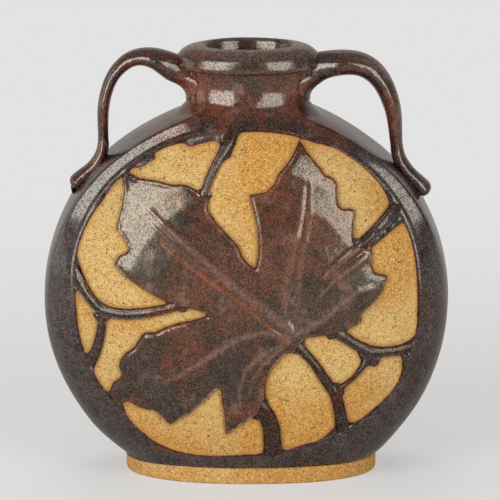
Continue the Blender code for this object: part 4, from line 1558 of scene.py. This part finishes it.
def body_finish(name):
    """Glaze with bare clay in the panel."""
    finish, tree, shader, place = start_finish(name)
    ragged = sums(tree, 'SUBTRACT', grain(tree, place, 330, 4, 0.65), 0.5)
    edge = plus(tree, kept_value(tree, "bare"), times(tree, ragged, WANDER))
    clay_share = span(tree, edge, -LINE, LINE)
    flush = span(tree, edge, 0.0, 2.2, 0.7, 0.0)
    fringe = span(tree, edge, -0.8, -0.1, 0.0, 0.45)
    thin = sums(tree, 'MAXIMUM', kept_value(tree, "thin"), fringe)
    glaze = glaze_colour(tree, place, thin)
    clay = clay_colour(tree, place, flush)
    rough_clay = span(tree, clay_share, 0.0, 1.0, 0.0, 0.6)
    dull = span(tree, edge, -2.6, 0.0, 1.0, 0.08)
    set_inputs(tree, shader, {
        'Base Color': blend_colours(tree, clay_share, glaze, clay),
        'Roughness': plus(tree, glaze_roughness(tree, place), rough_clay),
        'Specular IOR Level': times(tree, glaze_shine(tree, place, BODY_SHINE), dull),
        'IOR': GLAZE_IOR,
        'Specular Tint': (*BODY_TINT, 1)})
    sand = times(tree, grain(tree, place, 1300, 2, 0.6), clay_share)
    heights = glaze_heights(tree, place) + [(sand, 0.13 * MM), (clay_share, -0.12 * MM)]
    relief_of(tree, heights, shader)
    return finish


body_glaze = body_finish("body glaze and clay")
print("body finish mixed:", body_glaze.name)

# %% [markdown]
# ## Finishes on their pieces
# Each piece gets its one finish and rides the flask's only body, and the solid it
# stands for is hidden.

# %% Give the pieces their finishes
FINISHES = {"shell": body_glaze, "neck": neck_glaze, "collar": neck_glaze, "strap": strap_glaze,
            "stem": stem_glaze, "leaf": leaf_glaze, "foot": bare_clay_finish}
LOW_STEMS = ("bottom", "petiole", "low", "fork")
STANDS_FOR = {"shell_front": "front_shell", "shell_back": "back_shell", "neck_wall": "neck",
              "collar_roll": "collar", "strap_left": "handle_left", "strap_right": "handle_right",
              "foot_rim": "foot_ring"}

for name, piece in pieces.items():
    kind = name.split("_")[0]
    piece.data.materials.clear()
    duller = any(part in LOW_STEMS for part in name.split("_"))
    piece.data.materials.append(low_stem_glaze if duller else FINISHES[kind])
    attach(piece, "root")
    if name in STANDS_FOR:
        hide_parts(STANDS_FOR[name])
    else:
        face = name.split("_")[-1]
        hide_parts(face + "_" + name[:-len(face) - 1])
floor_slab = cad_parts["floor_slab"]
for slot in floor_slab.material_slots:
    slot.material = bare_clay_finish
print("pieces dressed:", len(pieces))

# %% [markdown]
# ## Floor, light and camera
# The photograph was taken on a pale sweep, a floor that curves up into a wall far
# behind, between two big soft lights. The paper glows to the camera far from the
# flask, so the background stays even from any side, and close by it keeps the soft
# shadow. The paper and its glow are dimmer in the glaze than to the camera, as in a
# dark studio.

# %% The pale sweep
PAPER = (0.90, 0.885, 0.86)
PAPER_IN_GLAZE = (0.27, 0.265, 0.26)
BACKDROP = (0.765, 0.765, 0.765)
BACKDROP_IN_GLAZE = (0.48, 0.47, 0.45)
NEAR_GLOW = 0.48
GLOW_SPAN = (0.10, 0.75)
SWEEP_HALF_WIDTH = 4.5
STRIP = 0.1
SWEEP_LINE = [(-4.5, 0.0), (2.9, 0.0), (3.2, 0.0), (3.5, 0.0), (3.8, 0.03), (4.1, 0.2),
              (4.3, 0.5), (4.4, 0.9), (4.45, 1.4), (4.45, 4.0)]


def build_sweep():
    """A strip that lies flat under the flask and curves up far behind it."""
    bpy.ops.mesh.primitive_plane_add(size=1, location=(0, SWEEP_LINE[0][0], 0))
    sweep = bpy.context.object
    sweep.name = "sweep"
    sweep.scale = (2 * SWEEP_HALF_WIDTH, STRIP, 1)
    apply_place(sweep)
    far = [vertex.co.y > SWEEP_LINE[0][0] for vertex in sweep.data.vertices]
    edit_some(sweep, [all(far[i] for i in edge.vertices) for edge in sweep.data.edges], mode='EDGE')
    last_y, last_z = SWEEP_LINE[0][0] + STRIP / 2, 0.0
    for y, z in SWEEP_LINE[1:]:
        bpy.ops.mesh.extrude_region_move()
        bpy.ops.transform.translate(value=(0, y - last_y, z - last_z))
        last_y, last_z = y, z
    close_edit()
    apply_modifier(sweep, 'SUBSURF', levels=3, render_levels=3)
    pick(sweep)
    bpy.ops.object.shade_smooth()
    return sweep


def paper_finish():
    """Matt paper, even and pale to the camera away from the flask."""
    finish, tree, shader, place = start_finish("pale paper")
    rays = tree.nodes.new('ShaderNodeLightPath')
    seen, mirrored = rays.outputs['Is Camera Ray'], rays.outputs['Is Glossy Ray']
    set_inputs(tree, shader, {
        'Base Color': blend_colours(tree, mirrored, PAPER, PAPER_IN_GLAZE),
        'Roughness': 0.8,
        'Specular IOR Level': 0.1})
    away = add_node(tree, 'ShaderNodeVectorMath', {0: place})
    away.operation = 'LENGTH'
    far = span(tree, away.outputs['Value'], *GLOW_SPAN, NEAR_GLOW, 1.0)
    shown = times(tree, far, sums(tree, 'MAXIMUM', seen, mirrored))
    backdrop = blend_colours(tree, mirrored, BACKDROP, BACKDROP_IN_GLAZE)
    glow = add_node(tree, 'ShaderNodeEmission', {'Color': backdrop})
    surface = add_node(tree, 'ShaderNodeMixShader', {
        0: shown, 1: shader.outputs['BSDF'], 2: glow.outputs['Emission']})
    output = next(node for node in tree.nodes if node.type == 'OUTPUT_MATERIAL')
    tree.links.new(surface.outputs['Shader'], output.inputs['Surface'])
    return finish


sweep = build_sweep()
sweep.data.materials.append(paper_finish())
print("sweep laid:", face_count(sweep), "triangles")

# %% Soft lights
SOFTBOXES = {
    "soft_left": (-39, 20, 1.35, 0.92, 1.10, 12.9),
    "soft_right": (39, 20, 1.35, 0.88, 1.05, 8.8),
    "fill_left": (-98, 2, 1.6, 1.3, 1.5, 4.6),
    "fill_top": (-172, 62, 1.9, 1.6, 0.8, 9.0),
}
LOOKED_AT = Vector((0, 0, 0.11))
NOT_IN_GLAZE = "fill_top"


def hang_light(name, azimuth, height, away, width, tall, power):
    """A soft box, its azimuth and height in degrees, and the rest in metres and watts."""
    turn = math.radians(azimuth)
    rise = math.radians(height)
    level = math.cos(rise)
    towards = Vector((math.sin(turn) * level, -math.cos(turn) * level, math.sin(rise)))
    stand = LOOKED_AT + towards * away
    bpy.ops.object.light_add(type='AREA', location=stand)
    lamp = bpy.context.object
    lamp.name = name
    lamp.data.shape = 'RECTANGLE'
    lamp.data.size = width
    lamp.data.size_y = tall
    lamp.data.energy = power
    lamp.rotation_euler = (LOOKED_AT - stand).to_track_quat('-Z', 'Y').to_euler()
    lamp.visible_camera = False
    lamp.visible_glossy = name != NOT_IN_GLAZE


for name, measures in SOFTBOXES.items():
    hang_light(name, *measures)
print("soft boxes:", len(SOFTBOXES))

# %% Room and camera
ROOM_LIGHT = (0.22, 0.218, 0.213)

room = bpy.data.worlds.new("room")
bpy.context.scene.world = room
room.use_nodes = True
room_tree = room.node_tree
seen = room_tree.nodes.new('ShaderNodeLightPath').outputs['Is Camera Ray']
set_inputs(room_tree, room_tree.nodes["Background"], {
    'Color': blend_colours(room_tree, seen, ROOM_LIGHT, BACKDROP), 'Strength': 1.0})

CAMERA_AIM = 0.1
CAMERA_AWAY = 3.0
CAMERA_DIP = math.radians(13.5)
bpy.ops.object.camera_add(location=(0, -CAMERA_AWAY * math.cos(CAMERA_DIP),
                                    CAMERA_AIM + CAMERA_AWAY * math.sin(CAMERA_DIP)),
                          rotation=(math.pi / 2 - CAMERA_DIP, 0, 0))
camera = bpy.context.object
camera.name = "long_lens"
camera.data.lens = 379.4
camera.data.sensor_width = 36
camera.data.shift_x = 0.0072
camera.data.shift_y = 0.0892
bpy.context.scene.camera = camera
bpy.context.scene.view_settings.view_transform = 'Standard'
print("lights:", len(SOFTBOXES), "and a lens of", round(camera.data.lens, 1), "mm")
